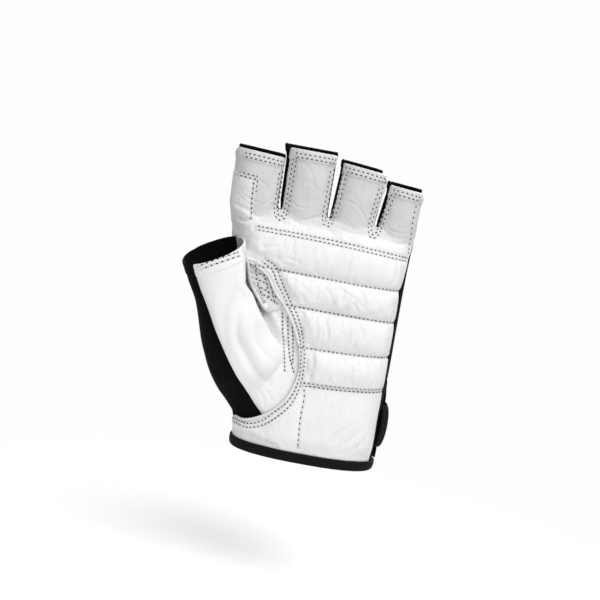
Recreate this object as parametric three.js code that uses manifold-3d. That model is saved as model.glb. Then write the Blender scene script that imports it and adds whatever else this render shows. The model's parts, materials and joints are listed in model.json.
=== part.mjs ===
// A half-finger fitness glove for the left hand, as it stands when a hand fills it.
// The frame: +Z runs up the hand from the cuff to the fingers, the palm faces -Y, the thumb lies
// towards -X, and the origin is the middle of the wrist opening, level with the cuff's lower edge.
//
// How it is made: the space that the hand fills is one lofted solid, handForm(). Every sheet of the
// glove is the space between two such forms, one grown further than the other, and each pattern
// piece is cut out of its sheet along its seams. So all pieces follow the same hand.
import * as THREE from 'three';
import Module from 'manifold-3d';
import { mergeVertices } from 'three/addons/utils/BufferGeometryUtils.js';

const wasm = await Module();
wasm.setup();

// Driving sizes, in millimetres. All widths and depths of the hand form are inside sizes.
const crotchHeight = 120; // cuff edge to the notches between the fingers
const wristWidthUlnar = 34.3; // from the middle of the wrist to the little-finger side
const wristWidthRadial = 36.4; // from the middle of the wrist to the thumb side
const wristDepthFront = 20.5;
const wristDepthBack = 19.5;
const knuckleDepthFront = 14;
const knuckleDepthBack = 14.5;
const knuckleShift = -12; // the middle of the four stalls, from the middle of the wrist

const fingerGap = 1; // between the outside faces of two stalls
const fingerForward = 1.5; // the stalls' middle in front of the wrist's middle
const fingerLean = THREE.MathUtils.degToRad(9); // the stalls lean forward, as a relaxed hand does
const backRise = 1.8; // the fabric stands this much higher than the leather at each stall

// The stalls' inside sizes. Lengths are from the notches to the top of the leather, and leans are
// how far the tops stand towards the little-finger side.
const indexWidth = 22.4;
const indexDepth = 18.6;
const indexLength = 27.6;
const indexLean = -0.9;
const middleWidth = 21.6;
const middleDepth = 19.2;
const middleLength = 32.6;
const middleLean = -0.8;
const ringWidth = 20.6;
const ringDepth = 18.6;
const ringLength = 29;
const ringLean = 1.7;
const littleWidth = 17.8;
const littleDepth = 16.6;
const littleLength = 22.8;
const littleLean = 0.9;
const topShares = [1, 1.01, 1.04, 0.84]; // the stalls' widths at their tops, of those at their feet

const leatherThickness = 1.2;
const fabricThickness = 1.2;
const liningThickness = 0.8;
const patchThickness = 1.1;
const padRise = 3.2; // the foam at the middle of a channel
const seamGap = 0.3; // between two pieces that touch
const holeGap = 0.9; // from the inner layers to the edge of the thumb hole
const overrun = 6; // cutters and inner forms run past what they cut

const thumbWidth = 29.5;
const thumbDepth = 24;
const thumbTurn = THREE.MathUtils.degToRad(29); // the opening's slope across the hand
const thumbLean = THREE.MathUtils.degToRad(18); // the thumb leans forward

const bindingHeight = 5.2;
const bindingThickness = 0.8;
const bindingLip = 1.5; // tape below the edge that it wraps

// The slit in the cuff, beside the seam on the little-finger side.
const slitHeight = 42;
const slitMouth = 10;
const slitBehind = 5; // the slit's middle, behind the middle of the wrist
const slitTip = 0.25; // the slit's width at its top
const slitTapeWidth = 4;

// The wrist strap: an elastic sewn beside the seam, then a tab with hook tape that closes on loop
// tape at the back. Standoffs are from the hand form to the inner face.
const strapWidth = 22;
const strapHeight = 22; // the strap's middle above the cuff edge
const strapTipRadius = 7;
const elasticThickness = 1.5;
const tabThickness = 1.6;
const hookThickness = 1;
const loopThickness = 0.9;
const tapeMargin = 2; // tape edge to strap edge
const hingeGap = 0.6; // between the elastic's end and the tab's start
const elasticStart = THREE.MathUtils.degToRad(-16); // places round the wrist, from its ulnar side
const elasticEnd = THREE.MathUtils.degToRad(64);
const tabEnd = THREE.MathUtils.degToRad(118);
const hookStart = THREE.MathUtils.degToRad(88);
const loopStart = THREE.MathUtils.degToRad(80);
const loopEnd = THREE.MathUtils.degToRad(122);

const knotRadius = 2.3;

// The stalls from the index finger to the little finger.
const stalls = [
  { name: 'index', width: indexWidth, depth: indexDepth, length: indexLength, lean: indexLean },
  { name: 'middle', width: middleWidth, depth: middleDepth, length: middleLength, lean: middleLean },
  { name: 'ring', width: ringWidth, depth: ringDepth, length: ringLength, lean: ringLean },
  { name: 'little', width: littleWidth, depth: littleDepth, length: littleLength, lean: littleLean },
];

// Tables of shares. Heights are shares of crotchHeight and widths are shares of knuckleBreadth.
// Each row of the hand form: height, then its widths towards the thumb and the little finger and
// its depths in front and behind, each as a share of the wrist's own size.
const formShares = [
  [0, 1, 1, 1, 1],
  [0.1, 1.03, 1, 1, 1],
  [0.2, 1.12, 1, 0.97, 1],
  [0.34, 1.2, 1, 0.9, 1],
  [0.48, 1.3, 1, 0.84, 0.93],
  [0.64, 1.38, 1, 0.78, 0.86],
];
// The rows above those, as shares of the knuckles' own sizes.
const knuckleShares = [
  [0.77, 0.905, 0.99, 1.08, 1.02],
  [0.87, 0.94, 0.99, 1.02, 0.95],
  [0.92, 0.955, 0.995, 0.95, 0.88],
  [0.96, 0.975, 1, 0.86, 0.79],
  [0.99, 0.985, 0.99, 0.76, 0.7],
  [1, 0.975, 0.975, 0.66, 0.62],
];
const squareness = 2.4; // the power of the section's curve: 2 is an ellipse
const stallSquareness = 2.3;
const stallRootShare = -0.11; // how far the stalls reach down into the palm
const rootTaperShare = 0.8;
const rootInwardShare = 0.93;
const quiltShares = [0.3375, 0.475, 0.632, 0.767, 0.921]; // the five stitched lines, from the heel
const crownShares = [0.12, 0.32, 0.68, 0.88]; // rows across one padded channel
const crownPower = 2.6; // how square the crown's sides are
const crownFlatness = 0.6;
// The foam: where its rise fades at both ends of a channel, and where it ends.
const padShares = { fadeIn: 0.07, fadeFrom: 0.27, fadeTo: 0.36, start: 0.02, end: 0.345, rim: 0.05 };
const liningShares = { left: -0.5, right: 0.33, bottom: 0.09, top: 0.945 };
const coverShares = { bottom: 0.1, top: 0.96, side: 1 / 6 }; // where the lining's cover fades out

// The edge of the thumb hole in the palm leather, from the web down, round the heel and out.
const holeShares = [
  [-0.64, 0.78], [-0.48, 0.769], [-0.407, 0.752], [-0.354, 0.721], [-0.316, 0.675],
  [-0.232, 0.6025], [-0.171, 0.527], [-0.13, 0.4475], [-0.1155, 0.365], [-0.138, 0.277],
  [-0.179, 0.22], [-0.2495, 0.1675], [-0.324, 0.136], [-0.378, 0.1325], [-0.435, 0.141],
  [-0.52, 0.16], [-0.75, 0.2],
];
// The seam between thumb leather and black thumb fabric, from above the opening down.
const thumbSeamShares = [
  [-0.8, 0.84], [-0.754, 0.74], [-0.708, 0.662], [-0.651, 0.585], [-0.569, 0.469],
  [-0.475, 0.356], [-0.403, 0.282], [-0.324, 0.2075], [-0.265, 0.166], [-0.2, 0.12],
];
// The thumb's rings: middle across, middle in depth, middle in height, width and depth.
// Depths are shares of the wrist's depth, and ring sizes are shares of the thumb's own.
const thumbShares = [
  [-0.32, -0.1, 0.19, 0.72, 0.78],
  [-0.367, -0.24, 0.301, 1.14, 1.1],
  [-0.394, -0.44, 0.381, 1.34, 1.3],
  [-0.476, -0.61, 0.4675, 1.15, 1.25],
  [-0.523, -0.76, 0.542, 1.04, 1.17],
  [-0.585, -0.88, 0.6325, 0.9, 1.07],
  [-0.635, -1, 0.735, 0.97, 1.02],
  [-0.674, -1.1, 0.8025, 1, 1],
];
const webPatchShares = [
  [-0.52, 0.78], [-0.37, 0.765], [-0.33, 0.735], [-0.279, 0.681], [-0.259, 0.62],
  [-0.323, 0.589], [-0.365, 0.605], [-0.43, 0.67], [-0.485, 0.71],
];
const sidePatchShares = { inner: -0.508, top: 1.138, bottom: 0.921 };
const knotShares = [-0.354, 0.606];
const webEndShare = -0.5; // the left end of the channel above the thumb

// Where the seam between palm leather and back fabric runs, seen from the side: depth as a share of
// knuckleDepthBack, then height.
const ulnarSeamShares = [[-0.56, 0], [-0.56, 0.76], [-0.3, 0.9], [-0.1, 0.97]];
const radialSeamShares = [[0.2, 0], [0.2, 0.97]];
const wallShares = { half: 0.38, bottom: 0.955 }; // a stall's side wall: of its half depth, its foot
const liftShares = { over: 1 / 8, tab: 1 / 2 }; // the elastic is over the slit's tape, then rises

const holeSteps = 40;
const seamSteps = 24;
const knotSegments = 12;
const bandSteps = 16;
const cornerSteps = 3;
const formSegments = 40;
const stallSegments = 20;
const thumbSegments = 20;

// Sizes that follow from the driving ones.
const sheet = Math.max(leatherThickness, fabricThickness);
const stallPitch = (a, b) => (a.width + b.width) / 2 + 2 * sheet + fingerGap;
const knuckleBreadth = stalls.reduce((sum, s) => sum + s.width, 0)
  + (stalls.length - 1) * (2 * sheet + fingerGap);
const knuckleUlnar = knuckleShift + knuckleBreadth / 2;
const knuckleRadial = knuckleBreadth / 2 - knuckleShift;
const across = (share) => share * knuckleBreadth;
const up = (share) => share * crotchHeight;
const quiltLines = quiltShares.map(up);
const coverOffset = liningThickness + seamGap;
const halfGap = seamGap / 2;
const edgeHeight = bindingLip + seamGap; // where the sheets end inside the binding
const patchBase = sheet + seamGap;
const patchTop = patchBase + patchThickness;
const tapeOut = sheet + seamGap + bindingThickness;
const farAway = 3 * crotchHeight;

stalls.forEach((stall, i) => {
  stall.topShare = topShares[i];
  stall.x = i === 0
    ? stall.width / 2 - knuckleRadial
    : stalls[i - 1].x + stallPitch(stalls[i - 1], stall);
});

// Helpers for closed solids.

/** A manifold solid from a closed three.js geometry. */
function solidOf(geometry) {
  const bare = geometry.clone();
  bare.deleteAttribute('normal');
  bare.deleteAttribute('uv');
  const merged = mergeVertices(bare);
  return new wasm.Manifold(new wasm.Mesh({
    numProp: 3,
    vertProperties: merged.attributes.position.array,
    triVerts: new Uint32Array(merged.index.array),
  }));
}

/** A closed geometry through rings of points that run the same way, with a flat cap at each end. */
function loft(rings) {
  const count = rings[0].length;
  const middles = [rings[0], rings[rings.length - 1]].map((ring) => ring
    .reduce((sum, p) => sum.add(p), new THREE.Vector3())
    .divideScalar(count));
  const points = [...rings.flat(), ...middles];
  const faces = [];
  for (let r = 0; r + 1 < rings.length; r += 1) {
    for (let i = 0; i < count; i += 1) {
      const a = r * count + i;
      const b = r * count + (i + 1) % count;
      faces.push(a, b, b + count, a, b + count, a + count);
    }
  }
  const last = (rings.length - 1) * count;
  for (let i = 0; i < count; i += 1) {
    const j = (i + 1) % count;
    faces.push(points.length - 2, j, i, points.length - 1, last + i, last + j);
  }
  return new THREE.BufferGeometry().setFromPoints(points).setIndex(faces);
}

/** A shape drawn in the front view, as [x, z] points, made a prism between two depths. */
function frontPrism(points, from = -farAway, to = farAway) {
  const shape = new THREE.Shape(points.map(([x, z]) => new THREE.Vector2(x, z)));
  const prism = new THREE.ExtrudeGeometry(shape, { depth: to - from, bevelEnabled: false });
  return solidOf(prism.rotateX(Math.PI / 2).translate(0, to, 0));
}

/** A shape drawn in the side view, as [y, z] points, made a prism between two x places. */
function sidePrism(points, from, to) {
  const shape = new THREE.Shape(points.map(([y, z]) => new THREE.Vector2(y, z)));
  const prism = new THREE.ExtrudeGeometry(shape, { depth: to - from, bevelEnabled: false });
  const turn = new THREE.Matrix4().makeBasis(
    new THREE.Vector3(0, 1, 0),
    new THREE.Vector3(0, 0, 1),
    new THREE.Vector3(1, 0, 0),
  );
  return solidOf(prism.applyMatrix4(turn).translate(from, 0, 0));
}

const rectangle = (left, right, low, high) => [[left, low], [right, low], [right, high], [left, high]];

/** Everything between two heights. */
const slab = (low, high) => frontPrism(rectangle(-farAway, farAway, low, high));

/** A closed outline with each corner moved outwards by a distance. */
function grown(points, distance) {
  const area = THREE.ShapeUtils.area(points.map(([x, z]) => new THREE.Vector2(x, z)));
  const side = Math.sign(area) * distance;
  return points.map(([x, z], i) => {
    const [x0, z0] = points[(i + points.length - 1) % points.length];
    const [x1, z1] = points[(i + 1) % points.length];
    const along = new THREE.Vector2(x1 - x0, z1 - z0).normalize();
    return [x + along.y * side, z - along.x * side];
  });
}

/** A smooth open curve through [x, z] points. */
function smooth(points, count) {
  const curve = new THREE.SplineCurve(points.map(([x, z]) => new THREE.Vector2(x, z)));
  return curve.getPoints(count).map((p) => [p.x, p.y]);
}

const toPlace = (shares) => shares.map(([x, z]) => [across(x), up(z)]);
const step = (low, high, value) => THREE.MathUtils.smoothstep(value, low, high);

// The form of the hand.

const formRows = [
  ...formShares.map(([z, radial, ulnar, front, back]) => [
    up(z), radial * wristWidthRadial, ulnar * wristWidthUlnar, front * wristDepthFront,
    back * wristDepthBack,
  ]),
  ...knuckleShares.map(([z, radial, ulnar, front, back]) => [
    up(z), radial * knuckleRadial, ulnar * knuckleUlnar, front * knuckleDepthFront,
    back * knuckleDepthBack,
  ]),
];
const formCurve = new THREE.CubicInterpolant(
  formRows.map((row) => row[0]),
  formRows.flatMap((row) => row.slice(1)),
  4,
);

/** The half widths and depths of the palm at a height. */
function formAt(z) {
  const [radial, ulnar, front, back] = formCurve.evaluate(z);
  return { radial, ulnar, front, back };
}

/** Cosine or sine of an angle, raised so that the section grows squarer. */
const rounded = (value, power) => Math.sign(value) * Math.abs(value) ** (2 / power);

/** A point of the palm's section at a height and an angle, grown by an offset. */
function palmPoint(z, angle, offset) {
  const size = formAt(z);
  const c = rounded(Math.cos(angle), squareness);
  const s = rounded(Math.sin(angle), squareness);
  return new THREE.Vector3(
    c * ((c > 0 ? size.ulnar : size.radial) + offset),
    s * ((s > 0 ? size.back : size.front) + offset),
    z,
  );
}

const holeEdge = smooth(toPlace(holeShares), holeSteps);

/** How far left the padded channels reach at a height: to the thumb hole or to the web. */
function channelStart(z) {
  const side = holeEdge.filter(([x, h]) => x > across(webEndShare) && h > quiltLines[0] / 2);
  const found = side.find(([, h]) => h <= z) ?? side[side.length - 1];
  return z > quiltLines[3] ? across(webEndShare) : found[0];
}

/** The share of the foam's rise at a place on the palm: 1 at the middle of a channel. */
function padShare(x, z) {
  const channel = quiltLines.findIndex((line, i) => i > 0 && z <= line && z >= quiltLines[i - 1]);
  if (channel < 1) return 0;
  const [low, high] = [quiltLines[channel - 1], quiltLines[channel]];
  const from = (2 * (z - low)) / (high - low) - 1;
  const crown = Math.max(0, 1 - Math.abs(from) ** crownPower) ** crownFlatness;
  const start = channelStart((low + high) / 2);
  const fadeIn = step(start, start + across(padShares.fadeIn), x);
  const fadeOut = 1 - step(across(padShares.fadeFrom), across(padShares.fadeTo), x);
  return crown * fadeIn * fadeOut;
}

/** The share of the lining's cover at a place on the palm: 0 where there is no lining. */
function coverShare(x, z) {
  const { ulnar, radial } = formAt(z);
  const fadeUp = step(bindingHeight, up(coverShares.bottom), z);
  const fadeTop = 1 - step(quiltLines[4], up(coverShares.top), z);
  const inward = (1 - Math.abs(x) / (x > 0 ? ulnar : radial)) / coverShares.side;
  return fadeUp * fadeTop * THREE.MathUtils.clamp(inward, 0, 1);
}

// How far each surface of the palm's layers stands in front of the hand.
const noPush = () => 0;
const liningPush = (x, z) => liningThickness * coverShare(x, z);
const foamBase = (x, z) => coverOffset * coverShare(x, z);
const foamPush = (x, z) => foamBase(x, z) + padRise * padShare(x, z);
const leatherPush = (x, z) => foamPush(x, z) + seamGap * coverShare(x, z);

const plainRows = [...formShares, ...knuckleShares].map(([z]) => up(z));
const channelRows = quiltLines.slice(1).flatMap((high, i) => {
  const low = quiltLines[i];
  return [...crownShares.map((share) => low + share * (high - low)), high];
});
const pushedRows = [
  ...plainRows.filter((z) => z < quiltLines[0]),
  bindingHeight,
  quiltLines[0],
  ...channelRows,
  ...plainRows.filter((z) => z > quiltLines[4]),
].sort((a, b) => a - b);

/** The palm as a closed solid, grown by an offset, with its front pushed out further. */
function palm(offset, push, past) {
  const rows = push === noPush ? plainRows : pushedRows;
  const ring = (z, height = z) => Array.from({ length: formSegments }, (_, i) => {
    const p = palmPoint(z, (2 * Math.PI * i) / formSegments, offset);
    if (p.y < 0) p.y -= push(p.x, z) * step(0, knuckleDepthFront / 3, -p.y);
    return p.setZ(height);
  });
  const rings = rows.map((z) => ring(z));
  if (past > 0) rings.unshift(ring(0, -past));
  rings[rings.length - 1].forEach((p) => p.setZ(crotchHeight + offset));
  return solidOf(loft(rings));
}

/** The depth of a stall's middle at a height above the notches. */
const stallMiddle = (height) => -fingerForward - Math.tan(fingerLean) * Math.max(0, height);

/** One finger stall as a closed solid, from inside the palm to its top. */
function stallForm(stall, offset, top) {
  const heights = [up(stallRootShare), 0, stall.length / 3, (2 * stall.length) / 3, top];
  const rings = heights.map((h) => {
    const t = Math.max(0, h / stall.length);
    const taper = h < 0 ? rootTaperShare : 1;
    const width = (stall.width / 2) * taper * (1 + t * (stall.topShare - 1)) + offset;
    const depth = (stall.depth / 2) * taper + offset;
    return Array.from({ length: stallSegments }, (_, i) => {
      const angle = (2 * Math.PI * (i + 0.5)) / stallSegments;
      return new THREE.Vector3(
        stall.x * (h < 0 ? rootInwardShare : 1) + stall.lean * t
          + width * rounded(Math.cos(angle), stallSquareness),
        stallMiddle(h) + depth * rounded(Math.sin(angle), stallSquareness),
        crotchHeight + h,
      );
    });
  });
  return solidOf(loft(rings));
}

const thumbMiddles = thumbShares.map(([x, y, z]) => new THREE.Vector3(
  across(x),
  y * wristDepthFront,
  up(z),
));
const thumbAcross = new THREE.Vector3(Math.cos(thumbTurn), 0, Math.sin(thumbTurn));
const thumbLine = new THREE.Vector3(
  -Math.sin(thumbTurn) * Math.cos(thumbLean),
  -Math.sin(thumbLean),
  Math.cos(thumbTurn) * Math.cos(thumbLean),
);
const thumbOut = thumbLine.clone().cross(thumbAcross).normalize(); // towards the back of the thumb

/** The thumb as a closed solid, from inside the palm to its opening or past it. */
function thumbForm(offset, past) {
  const rings = thumbShares.map(([, , , wide, deep], r) => {
    const width = (thumbWidth / 2) * wide + offset;
    const depth = (thumbDepth / 2) * deep + offset;
    return Array.from({ length: thumbSegments }, (_, i) => {
      const angle = (2 * Math.PI * (i + 0.5)) / thumbSegments;
      return thumbMiddles[r].clone()
        .addScaledVector(thumbAcross, width * rounded(Math.cos(angle), stallSquareness))
        .addScaledVector(thumbOut, depth * rounded(Math.sin(angle), stallSquareness));
    });
  });
  if (past > 0) {
    const last = rings[rings.length - 1];
    rings.push(last.map((p) => p.clone().addScaledVector(thumbLine, past)));
  }
  return solidOf(loft(rings));
}

/** The hand with its fingers and thumb, grown by an offset. Its openings reach past by a length. */
function handForm(offset, push = noPush, past = 0, rise = 0) {
  return stalls.reduce(
    (form, stall) => form.add(stallForm(stall, offset, stall.length + rise + past)),
    palm(offset, push, past).add(thumbForm(offset, past)),
  );
}

// The two sheets: each is the space between two forms.
const hand = handForm(0, noPush, overrun);
const leatherSheet = handForm(leatherThickness, leatherPush)
  .subtract(handForm(0, leatherPush, overrun));
const fabricSheet = handForm(fabricThickness, noPush, 0, backRise).subtract(hand);

// Cutters.

/** The side-view outline of everything in front of the seam on one side of the hand. */
function seamOutline(shares, shift) {
  const wall = wallShares.half * (stalls[1].depth / 2);
  const low = shares.map(([y, z]) => [y * knuckleDepthBack + shift, z === 0 ? -farAway : up(z)]);
  const high = [crotchHeight, crotchHeight + farAway].map((z) => [
    stallMiddle(z - crotchHeight) + wall + shift,
    z,
  ]);
  const edge = [...low, ...high];
  return [[-farAway, -farAway], ...edge, [-farAway, edge[edge.length - 1][1]]];
}

/** Everything on the palm side of the seams, grown by a shift. */
function palmSide(shift) {
  return sidePrism(seamOutline(ulnarSeamShares, shift), 0, farAway)
    .add(sidePrism(seamOutline(radialSeamShares, shift), -farAway, 0));
}

/** The space of the side walls between two neighbouring stalls. */
function wallZone(left, right, shift) {
  const half = wallShares.half * (stalls[1].depth / 2) + shift;
  const low = up(wallShares.bottom) - shift;
  const outline = [
    [-half, low], [half, low], [half, crotchHeight],
    [stallMiddle(farAway) + half, crotchHeight + farAway],
    [stallMiddle(farAway) - half, crotchHeight + farAway], [-half, crotchHeight],
  ];
  return sidePrism(outline, left.x - shift, right.x + shift);
}

const wallZones = (shift) => stalls.slice(1)
  .map((stall, i) => wallZone(stalls[i], stall, shift))
  .reduce((all, zone) => all.add(zone));

/** An open curve closed far out on the thumb's side. */
const toFarSide = (curve) => [
  ...curve,
  [-farAway, curve[curve.length - 1][1]],
  [-farAway, curve[0][1]],
];

/** The space of the thumb: its own form, and the hole in the palm leather seen from the front. */
function thumbZone(shift) {
  const outline = grown(toFarSide(holeEdge), shift);
  return thumbForm(sheet + shift, overrun)
    .add(frontPrism(outline, -farAway, radialSeamShares[0][0] * knuckleDepthBack + shift));
}

/** The black side of the thumb: outside the seam, or behind the thumb's middle. */
function thumbBackZone(shift) {
  const seam = smooth(toPlace(thumbSeamShares), seamSteps);
  const outline = grown(toFarSide(seam), shift);
  const block = new THREE.BoxGeometry(farAway, farAway, farAway);
  const turn = new THREE.Matrix4().makeBasis(thumbAcross, thumbOut, thumbLine);
  const place = thumbMiddles[4].clone().addScaledVector(thumbOut, farAway / 2 - shift);
  block.applyMatrix4(turn).translate(place.x, place.y, place.z);
  return frontPrism(outline).add(solidOf(block));
}

/** The V slit in the cuff, grown by a shift. */
function slitCut(shift) {
  const wide = slitMouth / 2;
  const outline = [
    [-wide, -overrun], [wide, -overrun], [wide, 0], [slitTip / 2, slitHeight],
    [-slitTip / 2, slitHeight], [-wide, 0],
  ];
  const grownOutline = grown(outline, shift).map(([y, z]) => [y + slitBehind, z]);
  return sidePrism(grownOutline, 0, farAway);
}

/** A shape drawn in the top view, as [x, y] points, made a prism between two heights. */
function topPrism(points, low, high) {
  const shape = new THREE.Shape(points.map(([x, y]) => new THREE.Vector2(x, y)));
  const prism = new THREE.ExtrudeGeometry(shape, { depth: high - low, bevelEnabled: false });
  return solidOf(prism.translate(0, 0, low));
}

const strapTop = strapHeight + strapWidth / 2; // where the wrist under the strap is widest

/** A band round the wrist between two places, with its standoff given at a share of its run. */
function wristBand(from, to, standoff, thickness, width) {
  const inner = Array.from({ length: bandSteps + 1 }, (_, i) => {
    const share = i / bandSteps;
    return [from + share * (to - from), standoff(share)];
  });
  const outer = inner.map(([angle, off]) => [angle, off + thickness]).reverse();
  const outline = [...inner, ...outer].map(([angle, off]) => {
    const p = palmPoint(strapTop, angle, off);
    return [p.x, p.y];
  });
  return topPrism(outline, strapHeight - width / 2, strapHeight + width / 2);
}

/** The strap's outline in the front view, with round corners at the tip. */
function strapOutline(margin) {
  const left = palmPoint(strapTop, tabEnd, 0).x + margin;
  const low = strapHeight - strapWidth / 2 + margin;
  const high = strapHeight + strapWidth / 2 - margin;
  const radius = strapTipRadius - margin;
  const corner = (x, z, start) => Array.from({ length: cornerSteps + 1 }, (_, i) => {
    const angle = start + (i / cornerSteps) * (Math.PI / 2);
    return [x + radius * Math.cos(angle), z + radius * Math.sin(angle)];
  });
  return frontPrism([
    [farAway, low], [farAway, high],
    ...corner(left + radius, high - radius, Math.PI / 2),
    ...corner(left + radius, low + radius, Math.PI),
  ], 0, farAway);
}

// The finished meshes.

const paint = (color, roughness) => new THREE.MeshStandardMaterial({ color, roughness, metalness: 0 });
const leather = paint(0xeeeeea, 0.5);
const blackFabric = paint(0x0d0d0f, 0.9);
const foam = paint(0xd9d4c2, 0.95);
const lining = paint(0xe2dfd6, 0.95);
const tapeBlack = paint(0x111114, 0.85);

const glove = new THREE.Group();

/** Adds a solid to the glove as a named mesh, without the slivers that a cut leaves beside it. */
function piece(name, solid, material) {
  const body = solid.decompose().sort((a, b) => b.volume() - a.volume())[0];
  const { vertProperties, triVerts, numProp } = body.getMesh();
  const geometry = new THREE.BufferGeometry()
    .setAttribute('position', new THREE.BufferAttribute(new Float32Array(vertProperties), numProp))
    .setIndex(new THREE.BufferAttribute(new Uint32Array(triVerts), 1));
  const mesh = new THREE.Mesh(geometry, material);
  mesh.name = name;
  glove.add(mesh);
}

// The palm leather, one hide divided at two of its stitched lines.
const palmLeather = leatherSheet
  .intersect(palmSide(0))
  .subtract(wallZones(seamGap))
  .subtract(thumbZone(seamGap))
  .subtract(slab(-farAway, edgeHeight));
const leatherBelow = slab(-farAway, quiltLines[0] - halfGap);
const leatherBetween = slab(quiltLines[0] + halfGap, quiltLines[4] - halfGap);
const leatherAbove = slab(quiltLines[4] + halfGap, farAway);
piece('palm_leather_fingers', palmLeather.intersect(leatherAbove), leather);
piece('palm_leather_padded', palmLeather.intersect(leatherBetween), leather);
piece('palm_leather_heel', palmLeather.intersect(leatherBelow), leather);

// The foam in the four channels, and the lining behind it.
const foamLayer = handForm(0, foamPush).subtract(handForm(0, foamBase, overrun));
quiltLines.slice(1).forEach((high, i) => {
  const low = quiltLines[i];
  const margin = padShares.rim * (high - low);
  const start = channelStart((low + high) / 2) + across(padShares.start);
  const area = rectangle(start, across(padShares.end), low + margin, high - margin);
  const pad = foamLayer
    .intersect(frontPrism(area, -farAway, 0))
    .intersect(palmSide(-seamGap))
    .subtract(thumbZone(holeGap));
  piece(`foam_pad_${i + 1}`, pad, foam);
});
const liningArea = rectangle(
  across(liningShares.left),
  across(liningShares.right),
  up(liningShares.bottom),
  up(liningShares.top),
);
piece(
  'palm_lining',
  handForm(0, liningPush)
    .subtract(hand)
    .intersect(frontPrism(liningArea, -farAway, 0))
    .intersect(palmSide(-seamGap))
    .subtract(thumbZone(holeGap)),
  lining,
);

// The thumb.
piece('thumb_back', fabricSheet.intersect(thumbZone(0)).intersect(thumbBackZone(0)), blackFabric);
piece('thumb_leather', leatherSheet.intersect(thumbZone(0)).subtract(thumbBackZone(seamGap)), leather);

// The patches on the web of the thumb and on the side of the index finger.
piece(
  'web_patch',
  palm(patchTop, leatherPush, overrun)
    .subtract(palm(patchBase, leatherPush, overrun))
    .intersect(frontPrism(toPlace(webPatchShares), -farAway, 0))
    .subtract(thumbForm(patchBase, overrun)),
  leather,
);
const sideArea = rectangle(
  -farAway,
  across(sidePatchShares.inner),
  up(sidePatchShares.bottom) + halfGap,
  up(sidePatchShares.top),
);
piece(
  'index_side_patch',
  handForm(patchTop, leatherPush, overrun)
    .subtract(handForm(patchBase, leatherPush, overrun))
    .intersect(frontPrism(sideArea))
    .intersect(palmSide(0)),
  leather,
);
const [knotX, knotZ] = [across(knotShares[0]), up(knotShares[1])];
const underKnot = palm(patchTop + seamGap, leatherPush).add(thumbForm(patchBase, overrun));
const knotArea = rectangle(
  knotX - knotRadius / 2,
  knotX + knotRadius / 2,
  knotZ - knotRadius / 2,
  knotZ + knotRadius / 2,
);
const knotY = underKnot.intersect(frontPrism(knotArea)).boundingBox().min[1];
const ball = new THREE.SphereGeometry(knotRadius, knotSegments, knotSegments / 2)
  .translate(knotX, knotY, knotZ);
piece('web_knot', solidOf(ball).subtract(underKnot), leather);

// The back fabric with its stall backs, and the walls between the stalls.
piece(
  'back_panel',
  fabricSheet
    .subtract(palmSide(seamGap))
    .subtract(wallZones(seamGap))
    .subtract(thumbZone(seamGap))
    .subtract(slitCut(edgeHeight))
    .subtract(slab(-farAway, edgeHeight)),
  blackFabric,
);
stalls.slice(1).forEach((stall, i) => {
  const zone = wallZone(stalls[i], stall, 0);
  piece(`${stalls[i].name}_${stall.name}_wall`, fabricSheet.intersect(zone), blackFabric);
});

// The tapes that bind the cuff and the slit: each folds round the edge from outside to inside.
const tapeWrap = palm(tapeOut, noPush, overrun)
  .subtract(palm(-seamGap - bindingThickness, noPush, 2 * overrun));
const tapeHollow = palm(sheet + seamGap, noPush, overrun)
  .subtract(palm(-seamGap, noPush, 2 * overrun));
piece(
  'cuff_binding',
  tapeWrap
    .intersect(slab(0, bindingHeight))
    .subtract(tapeHollow.intersect(slab(bindingLip, farAway)))
    .subtract(slitCut(0)),
  tapeBlack,
);
piece(
  'slit_binding',
  tapeWrap
    .intersect(slitCut(slitTapeWidth))
    .subtract(slitCut(0))
    .subtract(tapeHollow.subtract(slitCut(bindingLip)))
    .subtract(slab(-farAway, bindingHeight + seamGap)),
  tapeBlack,
);

// The wrist strap and its hook and loop tapes.
const loopBase = sheet + seamGap;
const hookBase = loopBase + loopThickness + seamGap;
const tabBase = hookBase + hookThickness + seamGap;
const elasticBase = sheet + seamGap;
const overTape = tapeOut + seamGap;
const elasticLift = (share) => elasticBase
  + (overTape - elasticBase) * step(0, liftShares.over, share)
  + (tabBase - overTape) * step(liftShares.tab, 1, share);
const hingeShare = hingeGap / wristWidthUlnar;
piece(
  'strap_elastic',
  wristBand(elasticStart, elasticEnd, elasticLift, elasticThickness, strapWidth),
  tapeBlack,
);
piece(
  'strap_tab',
  wristBand(elasticEnd + hingeShare, tabEnd, () => tabBase, tabThickness, strapWidth)
    .intersect(strapOutline(0)),
  tapeBlack,
);
const hookWidth = strapWidth - 2 * tapeMargin;
piece(
  'hook_tape',
  wristBand(hookStart, tabEnd, () => hookBase, hookThickness, hookWidth)
    .intersect(strapOutline(tapeMargin)),
  tapeBlack,
);
piece(
  'loop_patch',
  wristBand(loopStart, loopEnd, () => loopBase, loopThickness, strapWidth),
  tapeBlack,
);

export default glove;
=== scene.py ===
"""A half-finger fitness glove for the left hand, dressed for close views.

The glove is made as it is sewn. HandForm is the space that a hand fills, one closed form. Every
sheet of leather or fabric is a Skin, a part of that form's surface cut out along its seams, pushed
out to its layer, shaped by its padding, hems and stitches, and given its thickness. Lengths are in
metres. +Z runs up the hand, the palm faces -Y and the thumb lies towards -X.
"""
import json
import logging
import math
from dataclasses import dataclass, field
from enum import Enum
from typing import Callable, ClassVar, Iterable, Sequence

import bmesh
import bpy
import numpy as np
from mathutils import Matrix, Vector
from mathutils.bvhtree import BVHTree
from mathutils.kdtree import KDTree

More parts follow.
